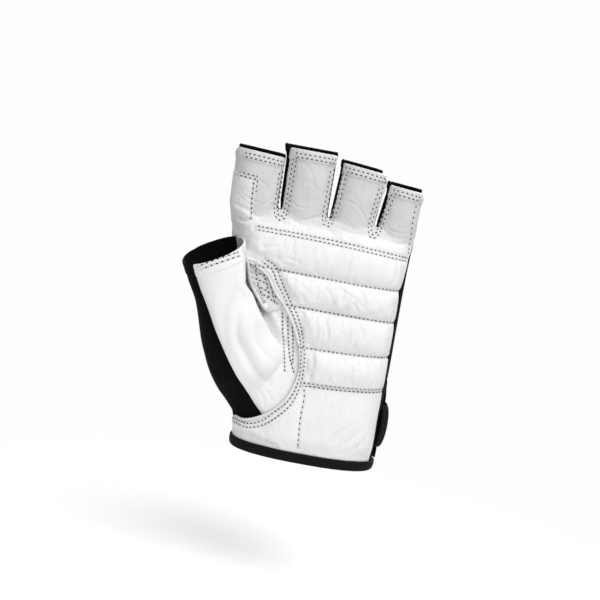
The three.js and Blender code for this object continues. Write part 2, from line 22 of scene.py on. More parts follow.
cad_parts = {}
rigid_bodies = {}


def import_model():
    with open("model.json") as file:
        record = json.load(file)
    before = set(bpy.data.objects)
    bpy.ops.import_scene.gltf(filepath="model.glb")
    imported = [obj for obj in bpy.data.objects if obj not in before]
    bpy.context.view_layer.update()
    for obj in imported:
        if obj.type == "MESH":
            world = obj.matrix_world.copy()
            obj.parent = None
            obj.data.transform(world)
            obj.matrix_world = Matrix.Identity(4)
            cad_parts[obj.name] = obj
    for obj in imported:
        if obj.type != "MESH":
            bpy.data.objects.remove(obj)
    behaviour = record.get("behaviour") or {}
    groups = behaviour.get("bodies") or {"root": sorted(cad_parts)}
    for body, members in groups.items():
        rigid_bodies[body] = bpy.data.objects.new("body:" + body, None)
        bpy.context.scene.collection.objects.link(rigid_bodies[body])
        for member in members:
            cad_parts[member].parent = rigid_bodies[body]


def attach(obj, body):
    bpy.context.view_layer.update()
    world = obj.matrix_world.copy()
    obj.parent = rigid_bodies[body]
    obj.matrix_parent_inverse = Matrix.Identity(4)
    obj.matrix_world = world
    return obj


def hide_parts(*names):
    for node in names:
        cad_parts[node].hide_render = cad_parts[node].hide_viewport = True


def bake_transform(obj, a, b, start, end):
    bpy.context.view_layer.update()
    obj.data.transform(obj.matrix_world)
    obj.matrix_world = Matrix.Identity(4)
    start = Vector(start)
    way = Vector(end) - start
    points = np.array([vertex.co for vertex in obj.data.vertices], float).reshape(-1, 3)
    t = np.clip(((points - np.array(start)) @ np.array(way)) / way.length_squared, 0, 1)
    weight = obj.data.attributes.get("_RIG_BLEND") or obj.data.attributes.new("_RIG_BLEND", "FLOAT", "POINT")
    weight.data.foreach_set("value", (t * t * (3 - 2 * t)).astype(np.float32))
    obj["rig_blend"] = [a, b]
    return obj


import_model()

LOG = logging.getLogger("glove")
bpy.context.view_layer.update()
MM = 0.001
JOINED = 1e-6
STEPS = 12
FAR = 0.2
AHEAD = Vector((0.0, 1.0, 0.0))
CREASE_STEPS = 10
# The most shade that a crease paints, from 0 to 1.
DARKEST = 0.5

Array = np.ndarray
Zone = Callable[[Array], Array]
Pairs = Sequence[tuple[float, float]]
Span = tuple[float, float]
Triple = tuple[float, float, float]
BMesh = bmesh.types.BMesh
Finish = bpy.types.Material
Mesh = bpy.types.Mesh
Socket = bpy.types.NodeSocket
Thing = bpy.types.Object


class Body(Enum):
    """The bodies that move against each other."""

    GLOVE = "glove"
    SIDE = "strap_side"
    TAIL = "strap_tail"


class Slot(Enum):
    """The record's finishes."""

    LEATHER = "white_leather"
    FOAM = "foam"
    LINING = "lining"
    FABRIC = "black_fabric"
    TAPE = "binding_tape"
    WEBBING = "strap_webbing"
    HOOK_LOOP = "hook_and_loop"


# Curves and fields.


def soft_step(low: float, high: float, value: Array) -> Array:
    """A soft step from 0 at low to 1 at high."""
    share = np.clip((value - low) / (high - low), 0.0, 1.0)
    return share * share * (3.0 - 2.0 * share)


def hump(distance: Array, width: float) -> Array:
    """A round hump of height 1, about as wide to each side as width."""
    return np.exp(-((distance / width) ** 2))


def rolled(distance: Array, width: float, power: float = 2.0) -> Array:
    """How far an edge is rolled in: 1 at the edge itself, 0 from width on."""
    return (1 - np.clip(distance / width, 0.0, 1.0)) ** power


def unit(ways: Array) -> Array:
    """Directions made one long."""
    return ways / np.linalg.norm(ways, axis=1)[:, None]


def curve_through(points: Sequence[Sequence[float]], count: int) -> Array:
    """A smooth open curve through points.

    Args:
        points: The points, in two or three dimensions.
        count: How many steps the curve is divided into.

    Returns:
        An array of count + 1 points.
    """
    given = np.asarray(points, float)
    held = np.vstack([2 * given[0] - given[1], given, 2 * given[-1] - given[-2]])
    place = np.linspace(0, len(given) - 1, count + 1)
    left = np.minimum(place.astype(int), len(given) - 2)
    t = (place - left)[:, None]
    a, b, c, d = (held[left + k] for k in range(4))
    return 0.5 * (
        2 * b + (c - a) * t + (2 * a - 5 * b + 4 * c - d) * t**2 + (3 * b - a - 3 * c + d) * t**3
    )


def lengths_along(line: Array) -> Array:
    """The distance run from a line's start to each of its points."""
    return np.append(0.0, np.cumsum(np.linalg.norm(np.diff(line, axis=0), axis=1)))


def at_lengths(line: Array, lengths: Array) -> Array:
    """The points of a line at given distances from its start."""
    run = lengths_along(line)
    return np.stack([np.interp(lengths, run, column) for column in line.T], axis=1)


def distance_to_line(line: Array, points: Array) -> tuple[Array, Array, Array]:
    """How far points are from a line of points, and where along it.

    Args:
        line: The points of the line in a plane.
        points: The points that are measured.

    Returns:
        The distances, the distances run along the line to the nearest place, and 1 for points
        left of the line, -1 for points right of it.
    """
    start, span = line[:-1], np.diff(line, axis=0)
    run = lengths_along(line)[:-1]
    reach = np.linalg.norm(span, axis=1)
    best = np.full(len(points), np.inf)
    where = np.zeros(len(points))
    side = np.ones(len(points))
    for one, step, long, done in zip(start, span, reach, run):
        away = points - one
        share = np.clip((away @ step) / max(long * long, 1e-18), 0.0, 1.0)
        rest = away - share[:, None] * step
        gap = np.hypot(rest[:, 0], rest[:, 1])
        closer = gap < best
        best = np.where(closer, gap, best)
        where = np.where(closer, done + share * long, where)
        turn = step[0] * away[:, 1] - step[1] * away[:, 0]
        side = np.where(closer, np.where(turn >= 0.0, 1.0, -1.0), side)
    return best, where, side


def inside_outline(outline: Array) -> Callable[[Array, Array], Array]:
    """A signed distance to a closed outline in the front view.

    Args:
        outline: The outline's x and z places; the last point joins the first.

    Returns:
        A function of x and z that is positive inside.
    """
    closed = np.vstack([outline, outline[:1]])

    def field(x: Array, z: Array) -> Array:
        """The signed distance at places.

        Args:
            x: Places across.
            z: Places up.

        Returns:
            The distances, positive inside.
        """
        gap, _, _ = distance_to_line(closed, np.stack([x, z], axis=1))
        odd = np.zeros(len(x), bool)
        for (x0, z0), (x1, z1) in zip(closed[:-1], closed[1:]):
            crosses = (z0 > z) != (z1 > z)
            at = x0 + (z - z0) * (x1 - x0) / (z1 - z0 if z1 != z0 else 1.0)
            odd ^= crosses & (x < at)
        return np.where(odd, gap, -gap)

    return field


def waves(points: Array, length: float, seed: int, count: int = 9) -> Array:
    """Soft uneven waves, the same each run.

    Args:
        points: Where they are wanted, n by 3.
        length: About how long one wave is.
        seed: Chooses the waves.
        count: How many waves are laid over each other.

    Returns:
        One value per point, mostly from -1 to 1.
    """
    draw = np.random.default_rng(seed)
    ways = unit(draw.normal(size=(count, 3)))
    sizes = length * draw.uniform(0.7, 1.5, count)
    phases = draw.uniform(0.0, 2 * math.pi, count)
    turns = 2 * math.pi * (points @ ways.T) / sizes + phases
    return np.sin(turns).sum(axis=1) / math.sqrt(count)


# Material graphs.


class Value:
    """A number that varies over a surface, on which sums are written as on numbers."""

    def __init__(self, graph: "Graph", socket: Socket) -> None:
        """Wraps an output socket of a graph."""
        self.graph = graph
        self.socket = socket

    def _sum(self, operation: str, first: object, second: object) -> "Value":
        """One Math node on two values or numbers."""
        node = self.graph.node("Math", {"operation": operation}, {0: first, 1: second})
        return Value(self.graph, node.outputs[0])

    def __add__(self, other: object) -> "Value":
        """Adds."""
        return self._sum("ADD", self, other)

    __radd__ = __add__

    def __sub__(self, other: object) -> "Value":
        """Takes other away."""
        return self._sum("SUBTRACT", self, other)

    def __rsub__(self, other: object) -> "Value":
        """Is taken away from other."""
        return self._sum("SUBTRACT", other, self)

    def __mul__(self, other: object) -> "Value":
        """Multiplies."""
        return self._sum("MULTIPLY", self, other)

    __rmul__ = __mul__

    def __pow__(self, other: object) -> "Value":
        """Raises to a power."""
        return self._sum("POWER", self, other)

    def between(self, low: float, high: float) -> "Value":
        """A soft step from 0 at low to 1 at high."""
        settings = {"interpolation_type": "SMOOTHSTEP"}
        sockets = {"Value": self, "From Min": low, "From Max": high}
        node = self.graph.node("MapRange", settings, sockets)
        return Value(self.graph, node.outputs[0])


class Graph:
    """The node graph of a material or of the world.

    A Wave node runs through WAVE_SCALE radians in each metre at scale 1.
    """

    WAVE_SCALE = 20

    def __init__(self, owner: Finish | bpy.types.World) -> None:
        """Empties the graph of a material or of the world."""
        self.owner = owner
        owner.use_nodes = True
        self.tree = owner.node_tree
        self.tree.nodes.clear()

    def node(
        self, kind: str, settings: dict | None = None, sockets: dict | None = None
    ) -> bpy.types.Node:
        """Adds a node.

        Args:
            kind: The node's type, without the ShaderNode that every type begins with.
            settings: Its own settings by name, which are set first.
            sockets: Values, colours or links by the input's name or number.

        Returns:
            The new node.
        """
        made = self.tree.nodes.new(f"ShaderNode{kind}")
        for name, setting in (settings or {}).items():
            setattr(made, name, setting)
        for name, given in (sockets or {}).items():
            socket = given.socket if isinstance(given, Value) else given
            if isinstance(socket, Socket):
                self.tree.links.new(socket, made.inputs[name])
            else:
                made.inputs[name].default_value = socket
        return made

    def value(self, kind: str, settings: dict, sockets: dict, output: str | int = 0) -> Value:
        """A new node's output as a value."""
        return Value(self, self.node(kind, settings, sockets).outputs[output])

    def places(self, stretch: Triple = (1.0, 1.0, 1.0)) -> Socket:
        """Object coordinates, stretched along each axis."""
        where = self.node("TexCoord").outputs["Object"]
        return self.node("Mapping", {}, {"Vector": where, "Scale": stretch}).outputs["Vector"]

    def noise(self, where: Socket, scale: float, detail: float = 3.0) -> Value:
        """Cloudy noise from 0 to 1; scale is clouds per metre."""
        sockets = {"Vector": where, "Scale": scale, "Detail": detail, "Roughness": 0.55}
        return self.value("TexNoise", {"noise_dimensions": "3D"}, sockets)

    def cells(self, where: Socket, scale: float) -> Value:
        """The distance to the middles of small cells; scale is cells per metre."""
        return self.value("TexVoronoi", {"feature": "F1"}, {"Vector": where, "Scale": scale})

    def stripes(self, where: Socket, per_metre: float, way: str, sway: float = 0.0) -> Value:
        """Round stripes across an axis."""
        settings = {"wave_type": "BANDS", "bands_direction": way, "wave_profile": "SIN"}
        scale = per_metre * 2 * math.pi / self.WAVE_SCALE
        sockets = {"Vector": where, "Scale": scale, "Distortion": sway}
        return self.value("TexWave", settings, sockets, "Fac")

    def attribute(self, name: str) -> Value:
        """A number that the mesh carries."""
        return self.value("Attribute", {"attribute_name": name}, {}, "Fac")

    def mix(
        self, share: Value | float, first: Triple | Socket, second: Triple | Socket, way: str = "MIX"
    ) -> Socket:
        """A colour from two."""
        first, second = (one if isinstance(one, Socket) else (*one, 1.0) for one in (first, second))
        settings = {"data_type": "RGBA", "blend_type": way}
        return self.node("Mix", settings, {"Factor": share, 6: first, 7: second}).outputs[2]

    def bump(self, height: Value, distance: float, under: Socket | None = None) -> Socket:
        """Small relief."""
        sockets = {"Height": height, "Distance": distance, "Strength": 1.0}
        if under is not None:
            sockets["Normal"] = under
        return self.node("Bump", {}, sockets).outputs["Normal"]

    def surface(self, sockets: dict) -> Finish:
        """Ends the graph with a surface that takes these sockets, and gives the material."""
        shader = self.node("BsdfPrincipled", {}, sockets)
        self.node("OutputMaterial", {}, {"Surface": shader.outputs[0]})
        return self.owner


@dataclass(frozen=True)
class Leather:
    """Soft white grained leather, with painted shade in its folds, creases and grooves."""

    name: str = "white_leather"
    white: Triple = (0.87, 0.875, 0.87)
    # shade is the darker colour of the clouds of tone and of the painted shade in the fine folds and long
    # creases.
    shade: Triple = (0.72, 0.73, 0.735)
    # groove is the colour of the painted shade that the mesh's groove attribute marks.
    groove: Triple = (0.42, 0.43, 0.44)
    crumple: float = 1.0
    roughness: float = 0.5
    pores_per_metre: float = 1500.0
    folds_per_metre: float = 320.0
    creases_per_metre: float = 90.0

    def material(self) -> Finish:
        """The outside of the leather: pores, upright fine folds, a few long creases, clouds of tone, and
        painted shade in the folds, in the creases and wherever the mesh's groove attribute marks it.

        Returns:
            The material.
        """
        graph = Graph(bpy.data.materials.new(self.name))
        where = graph.places()
        clouds = graph.noise(where, 45.0, 4.0)
        pores = graph.cells(where, self.pores_per_metre)
        folds = graph.stripes(graph.places((1.0, 0.6, 0.5)), self.folds_per_metre, "X", 9.0) ** 3.0
        creases = graph.stripes(where, self.creases_per_metre, "DIAGONAL", 14.0) ** 24.0
        patches = graph.noise(graph.places((1.0, 1.0, 0.6)), 60.0, 2.0).between(0.42, 0.66)
        others = graph.noise(where, 40.0, 2.0).between(0.46, 0.6)
        # Painted shade: how much shade the mesh's groove attribute paints at each point.
        painted_shade = graph.attribute("groove")
        # Clouds of tone, and painted shade in the fine folds and the long creases.
        tone_and_fold_shade = clouds.between(0.35, 0.75) * 0.3 + folds * patches * 0.08 + creases * others * 0.16
        soft = graph.mix(tone_and_fold_shade, self.white, self.shade)
        # The painted shade's colour, multiplied over the leather's own colour.
        painted_shade_colour = graph.mix(painted_shade, (1.0, 1.0, 1.0), self.groove)
        relief = graph.bump(pores, 0.00005)
        relief = graph.bump(graph.noise(where, 420.0, 3.0), 0.0002, relief)
        relief = graph.bump(1 - folds * patches, 0.00012 * self.crumple, relief)
        relief = graph.bump(1 - creases * others, 0.00016 * self.crumple, relief)
        upright = graph.noise(graph.places((1.0, 1.0, 0.3)), 130.0, 4.0)
        relief = graph.bump(upright, 0.0004 + 0.0005 * self.crumple, relief)
        return graph.surface({
            "Base Color": graph.mix(1.0, soft, painted_shade_colour, "MULTIPLY"),
            "Roughness": clouds * 0.12 + self.roughness,
            "Normal": relief,
            "Specular IOR Level": 0.3,
            "Sheen Weight": 0.03,
        })


@dataclass(frozen=True)
class Suede:
    """The raw inner side and the cut edges of the leather."""

    name: str = "leather_inside"
    light: Triple = (0.66, 0.65, 0.63)
    dark: Triple = (0.5, 0.49, 0.47)

    def material(self) -> Finish:
        """Short nap in two close greys.

        Returns:
            The material.
        """
        graph = Graph(bpy.data.materials.new(self.name))
        where = graph.places()
        nap = graph.noise(where, 900.0, 4.0)
        relief = graph.bump(nap, 0.0002)
        return graph.surface({
            "Base Color": graph.mix(nap, self.dark, self.light),
            "Roughness": nap * 0.05 + 0.9,
            "Normal": relief,
            "Sheen Weight": 0.2,
        })


@dataclass(frozen=True)
class StretchFabric:
    """Matt black stretch fabric with fine upright ribs."""

    name: str = "black_fabric"
    dark: Triple = (0.0025, 0.0025, 0.003)
    light: Triple = (0.0078, 0.0078, 0.009)
    ribs_per_metre: float = 1300.0
    loops_per_metre: float = 1700.0

    def material(self) -> Finish:
        """Rows of tiny loops, a few lighter hairs and a soft sheen.

        Returns:
            The material.
        """
        graph = Graph(bpy.data.materials.new(self.name))
        where = graph.places()
        ribs = graph.stripes(where, self.ribs_per_metre, "X")
        loops = graph.stripes(where, self.loops_per_metre, "Z")
        weave = ribs * 0.6 + loops * 0.4
        lint = graph.noise(where, 2600.0, 2.0).between(0.62, 0.8)
        clouds = graph.noise(where, 60.0, 3.0)
        relief = graph.bump(weave, 0.00012)
        relief = graph.bump(graph.noise(where, 700.0, 3.0), 0.00012, relief)
        relief = graph.bump(graph.noise(where, 90.0, 3.0), 0.0012, relief)
        return graph.surface({
            "Base Color": graph.mix(weave * 0.4 + lint * 0.4 + clouds * 0.2, self.dark, self.light),
            "Roughness": clouds * 0.1 + 0.82,
            "Normal": relief,
            "Specular IOR Level": 0.03,
            "Sheen Weight": 0.02,
        })


@dataclass(frozen=True)
class Tape:
    """Black ribbed tape or webbing."""

    name: str = "binding_tape"
    dark: Triple = (0.0025, 0.0025, 0.003)
    light: Triple = (0.011, 0.011, 0.0125)
    ribs_per_metre: float = 1000.0

    def material(self) -> Finish:
        """Close ribs along the tape, broken by its cross threads.

        Returns:
            The material.
        """
        graph = Graph(bpy.data.materials.new(self.name))
        where = graph.places()
        along = graph.stripes(where, self.ribs_per_metre, "Z")
        grain = graph.noise(where, 1500.0, 3.0)
        weave = along * 0.5 + grain * 0.5
        return graph.surface({
            "Base Color": graph.mix(weave, self.dark, self.light),
            "Roughness": grain * 0.1 + 0.72,
            "Normal": graph.bump(weave, 0.00014),
            "Specular IOR Level": 0.06,
            "Sheen Weight": 0.02,
        })


@dataclass(frozen=True)
class Plain:
    """A soft plain finish with a little grain, for thread, foam, lining and nap."""

    name: str
    dark: Triple
    light: Triple
    grain_per_metre: float
    relief: float
    roughness: float

    def material(self) -> Finish:
        """Two close colours over a fine grain.

        Returns:
            The material.
        """
        graph = Graph(bpy.data.materials.new(self.name))
        grain = graph.noise(graph.places(), self.grain_per_metre, 4.0)
        return graph.surface({
            "Base Color": graph.mix(grain.between(0.3, 0.7), self.dark, self.light),
            "Roughness": grain * 0.08 + self.roughness,
            "Normal": graph.bump(grain, self.relief),
            "Specular IOR Level": 0.25,
        })


class Finishes:
    """All finishes of the glove, made once."""

    def __init__(self) -> None:
        """Makes the materials."""
        self.leather = Leather().material()
        # The thumb's leather: the same leather made smoother, with its white and shade painted lighter as
        # painted light.
        self.smooth = Leather(
            "smooth_painted_light_leather", (0.92, 0.925, 0.92), (0.84, 0.845, 0.845), crumple=0.2
        ).material()
        # The web patch's leather: the same leather painted darker as painted shade, with less relief.
        self.painted_shade = Leather(
            "painted_shade_leather", (0.8, 0.805, 0.81), (0.68, 0.69, 0.7), crumple=0.6
        ).material()
        self.suede = Suede().material()
        self.fabric = StretchFabric().material()
        self.tape = Tape().material()
        self.webbing = Tape(
            "strap_webbing", (0.003, 0.003, 0.0035), (0.014, 0.014, 0.016), 800.0
        ).material()
        self.nap, self.foam, self.lining, self.thread, self.hole = (
            Plain(*looks).material() for looks in (
                ("hook_and_loop", (0.004, 0.004, 0.005), (0.02, 0.02, 0.022), 2400.0, 0.0006, 0.9),
                ("foam", (0.62, 0.58, 0.46), (0.74, 0.7, 0.58), 1800.0, 0.0003, 0.9),
                ("lining", (0.68, 0.66, 0.6), (0.79, 0.77, 0.72), 1600.0, 0.0001, 0.85),
                ("thread", (0.6, 0.6, 0.59), (0.8, 0.8, 0.79), 3000.0, 0.0001, 0.6),
                # Near-black beads painted as the shadow inside each needle hole.
                ("needle_hole_shadow", (0.01, 0.01, 0.011), (0.035, 0.035, 0.035), 2000.0, 0.0001, 0.95),
            )
        )


# The hand form and the sheets cut from it.


def as_mesh(name: str, bm: BMesh, *finishes: Finish) -> Mesh:
    """A new mesh from a bmesh, which isn't needed any more.

    Args:
        name: The mesh's name.
        bm: The bmesh.
        finishes: Its finishes, if it is shown; it is then shaded smooth.

    Returns:
        The mesh.
    """
    mesh = bpy.data.meshes.new(name)
    bm.to_mesh(mesh)
    bm.free()
    for finish in finishes:
        mesh.materials.append(finish)
    if finishes:
        mesh.shade_smooth()
    return mesh


def grid(across: int, rows: int) -> tuple[BMesh, Array]:
    """A flat grid of faces and its points' places in it, from 0 to 1 along each side."""
    bm = bmesh.new()
    bmesh.ops.create_grid(bm, x_segments=across, y_segments=rows, size=0.5)
    return bm, np.array([vert.co[:] for vert in bm.verts])[:, :2] + 0.5


def wrapped(across: int, rows: int, place: Callable[[Array, Array], Array]) -> Mesh:
    """A closed tube: a grid wrapped round a form, with its two ends filled.

    Args:
        across: Faces round the tube.
        rows: Faces along it.
        place: Gives the points for shares round and along the tube.

    Returns:
        The tube's mesh.
    """
    bm, flat = grid(across, rows)
    for vert, point in zip(bm.verts, place(*flat.T)):
        vert.co = point
    bmesh.ops.remove_doubles(bm, verts=bm.verts, dist=JOINED)
    bmesh.ops.holes_fill(bm, edges=[edge for edge in bm.edges if edge.is_boundary], sides=0)
    bmesh.ops.recalc_face_normals(bm, faces=bm.faces)
    return as_mesh("tube", bm)


def evaluated(piece: Thing) -> Mesh:
    """A piece's mesh with its modifiers applied."""
    graph = bpy.context.evaluated_depsgraph_get()
    return bpy.data.meshes.new_from_object(piece.evaluated_get(graph))


def linked(name: str, data: bpy.types.ID) -> Thing:
    """A new object in the scene that shows a mesh, light or camera."""
    piece = bpy.data.objects.new(name, data)
    bpy.context.scene.collection.objects.link(piece)
    return piece


def with_modifier(mesh: Mesh, kind: str, settings: dict) -> Mesh:
    """A copy of a mesh changed by one modifier.

    Args:
        mesh: The mesh.
        kind: The modifier's type.
        settings: Its settings by name.

    Returns:
        The changed mesh.
    """
    piece = linked("blank", mesh)
    modifier = piece.modifiers.new(kind, kind)
    for name, setting in settings.items():
        setattr(modifier, name, setting)
    made = evaluated(piece)
    bpy.data.objects.remove(piece)
    return made


class Skin:
    """A sheet of the glove as one open layer of faces."""

    def __init__(self, bm: BMesh) -> None:
        """Takes over a bmesh."""
        self.bm = bm
        bm.normal_update()

    @classmethod
    def of(cls, mesh: Mesh) -> "Skin":
        """A skin from a mesh."""
        bm = bmesh.new()
        bm.from_mesh(mesh)
        return cls(bm)

    def points(self) -> Array:
        """All its points."""
        return np.array([vert.co[:] for vert in self.bm.verts]).reshape(-1, 3)

    def normals(self) -> Array:
        """The outward direction at each point."""
        return np.array([vert.normal[:] for vert in self.bm.verts]).reshape(-1, 3)

    def move(self, points: Array) -> "Skin":
        """Puts its points somewhere else."""
        for vert, point in zip(self.bm.verts, points):
            vert.co = point
        self.bm.normal_update()
        return self

    def push(self, amounts: Array) -> "Skin":
        """Moves each point outwards by its own amount."""
        return self.move(self.points() + self.normals() * amounts[:, None])

    def smooth(self, times: int) -> "Skin":
        """Evens it out.

        Args:
            times: How many times.

        Returns:
            The skin itself.
        """
        for _ in range(times):
            bmesh.ops.smooth_vert(
                self.bm, verts=self.bm.verts, factor=0.5,
                use_axis_x=True, use_axis_y=True, use_axis_z=True,
            )
        self.bm.normal_update()
        return self

    def paint_shade(self, values: Array) -> "Skin":
        """Paints shade into the material: marks how dark it is at each point, where it isn't darker already.

        Args:
            values: How much shade is painted at each point, from 0 to 1.

        Returns:
            The skin itself.
        """
        layers = self.bm.verts.layers.float
        layer = layers.get("groove") or layers.new("groove")
        for vert, value in zip(self.bm.verts, values):
            vert[layer] = max(vert[layer], value)
        return self

    def cut(self, zone: Zone, snap: float = 0.3) -> "Skin":
        """The part of the skin inside a zone, with its edge right on the zone's border.

        Args:
            zone: A function of points that is positive inside.
            snap: Points nearer to the border than this share of an edge move onto it.

        Returns:
            A new skin.
        """
        bm = self.bm.copy()
        layer = bm.verts.layers.float.new("zone")
        for vert, value in zip(bm.verts, zone(self.points())):
            vert[layer] = value
        gone = [face for face in bm.faces if max(vert[layer] for vert in face.verts) <= 0.0]
        bmesh.ops.delete(bm, geom=gone, context="FACES")
        self._snap(bm, layer, snap)
        self._split(bm, layer)
        gone = [face for face in bm.faces if sum(vert[layer] for vert in face.verts) <= 0.0]
        bmesh.ops.delete(bm, geom=gone, context="FACES")
        bm.verts.layers.float.remove(layer)
        return Skin(bm)

    @staticmethod
    def _snap(bm: BMesh, layer: object, snap: float) -> None:
        """Moves points that lie next to the border onto it.

        Args:
            bm: The mesh.
            layer: The layer that holds the zone's values.
            snap: The share of an edge within which a point moves.
        """
        moves: dict[bmesh.types.BMVert, tuple[float, Vector]] = {}
        for edge in bm.edges:
            one, two = edge.verts
            if one[layer] * two[layer] >= 0.0:
                continue
            share = one[layer] / (one[layer] - two[layer])
            place = one.co.lerp(two.co, share)
            near, gap = (one, share) if share < 0.5 else (two, 1.0 - share)
            if gap < snap and gap < moves.get(near, (1.0, place))[0]:
                moves[near] = (gap, place)
        for vert, (_, place) in moves.items():
            vert.co = place
            vert[layer] = 0.0

    @staticmethod
    def _split(bm: BMesh, layer: object) -> None:
        """Divides the faces that the border crosses.

        Args:
            bm: The mesh.
            layer: The layer that holds the zone's values.
        """
        crossed = [edge for edge in bm.edges if edge.verts[0][layer] * edge.verts[1][layer] < 0.0]
        for edge in crossed:
            one, two = edge.verts
            share = one[layer] / (one[layer] - two[layer])
            _, vert = bmesh.utils.edge_split(edge, one, share)
            vert[layer] = 0.0
        for face in list(bm.faces):
            values = [vert[layer] for vert in face.verts]
            if min(values) >= 0.0 or max(values) <= 0.0:
                continue
            border = [vert for vert in face.verts if vert[layer] == 0.0]
            if len(border) >= 2 and not bm.edges.get(border[:2]):
                bmesh.utils.face_split(face, border[0], border[1])

    def refined(self) -> "Skin":
        """The same skin with four faces for each."""
        settings = {"levels": 1, "render_levels": 1}
        return Skin.of(with_modifier(as_mesh("skin", self.bm.copy()), "SUBSURF", settings))

    def rim_distance(self, reach: float, where: Zone | None = None) -> Array:
        """How far each point is from the nearest open edge.

        Args:
            reach: Larger distances are given as this.
            where: Only the open edges inside this zone count.

        Returns:
            The distances.
        """
        rim = np.array([vert.co[:] for vert in self.bm.verts if vert.is_boundary]).reshape(-1, 3)
        if where is not None:
            rim = rim[where(rim) > 0.0]
        if not len(rim):
            return np.full(len(self.bm.verts), reach)
        tree = KDTree(len(rim))
        for place, point in enumerate(rim):
            tree.insert(point, place)
        tree.balance()
        return np.minimum([tree.find(vert.co)[2] for vert in self.bm.verts], reach)

    def facing(self, ways: Array) -> "Skin":
        """Turns its faces over if they point against given directions."""
        if (self.normals() * ways).sum() < 0.0:
            bmesh.ops.reverse_faces(self.bm, faces=self.bm.faces)
            self.bm.normal_update()
        return self

    def tree(self) -> BVHTree:
        """A search tree of its faces."""
        return BVHTree.FromBMesh(self.bm)

    def piece(self, name: str, thickness: float, outside: Finish, inside: Finish) -> Thing:
        """Makes the skin a finished sheet.

        Args:
            name: The piece's name.
            thickness: How thick the sheet is; it grows inwards.
            outside: The finish of its outside.
            inside: The finish of its inside and its edges.

        Returns:
            The new object.
        """
        made = linked(name, as_mesh(name, self.bm.copy(), outside, inside))
        solid = made.modifiers.new("thickness", "SOLIDIFY")
        solid.thickness = thickness
        solid.offset = -1.0
        solid.material_offset = 1
        solid.material_offset_rim = 1
        return made


@dataclass(frozen=True)
class Stall:
    """One finger stall: its inside sizes, and how its leather's edge slopes."""

    width: float
    depth: float
    length: float
    lean: float
    top_share: float
    slope: float


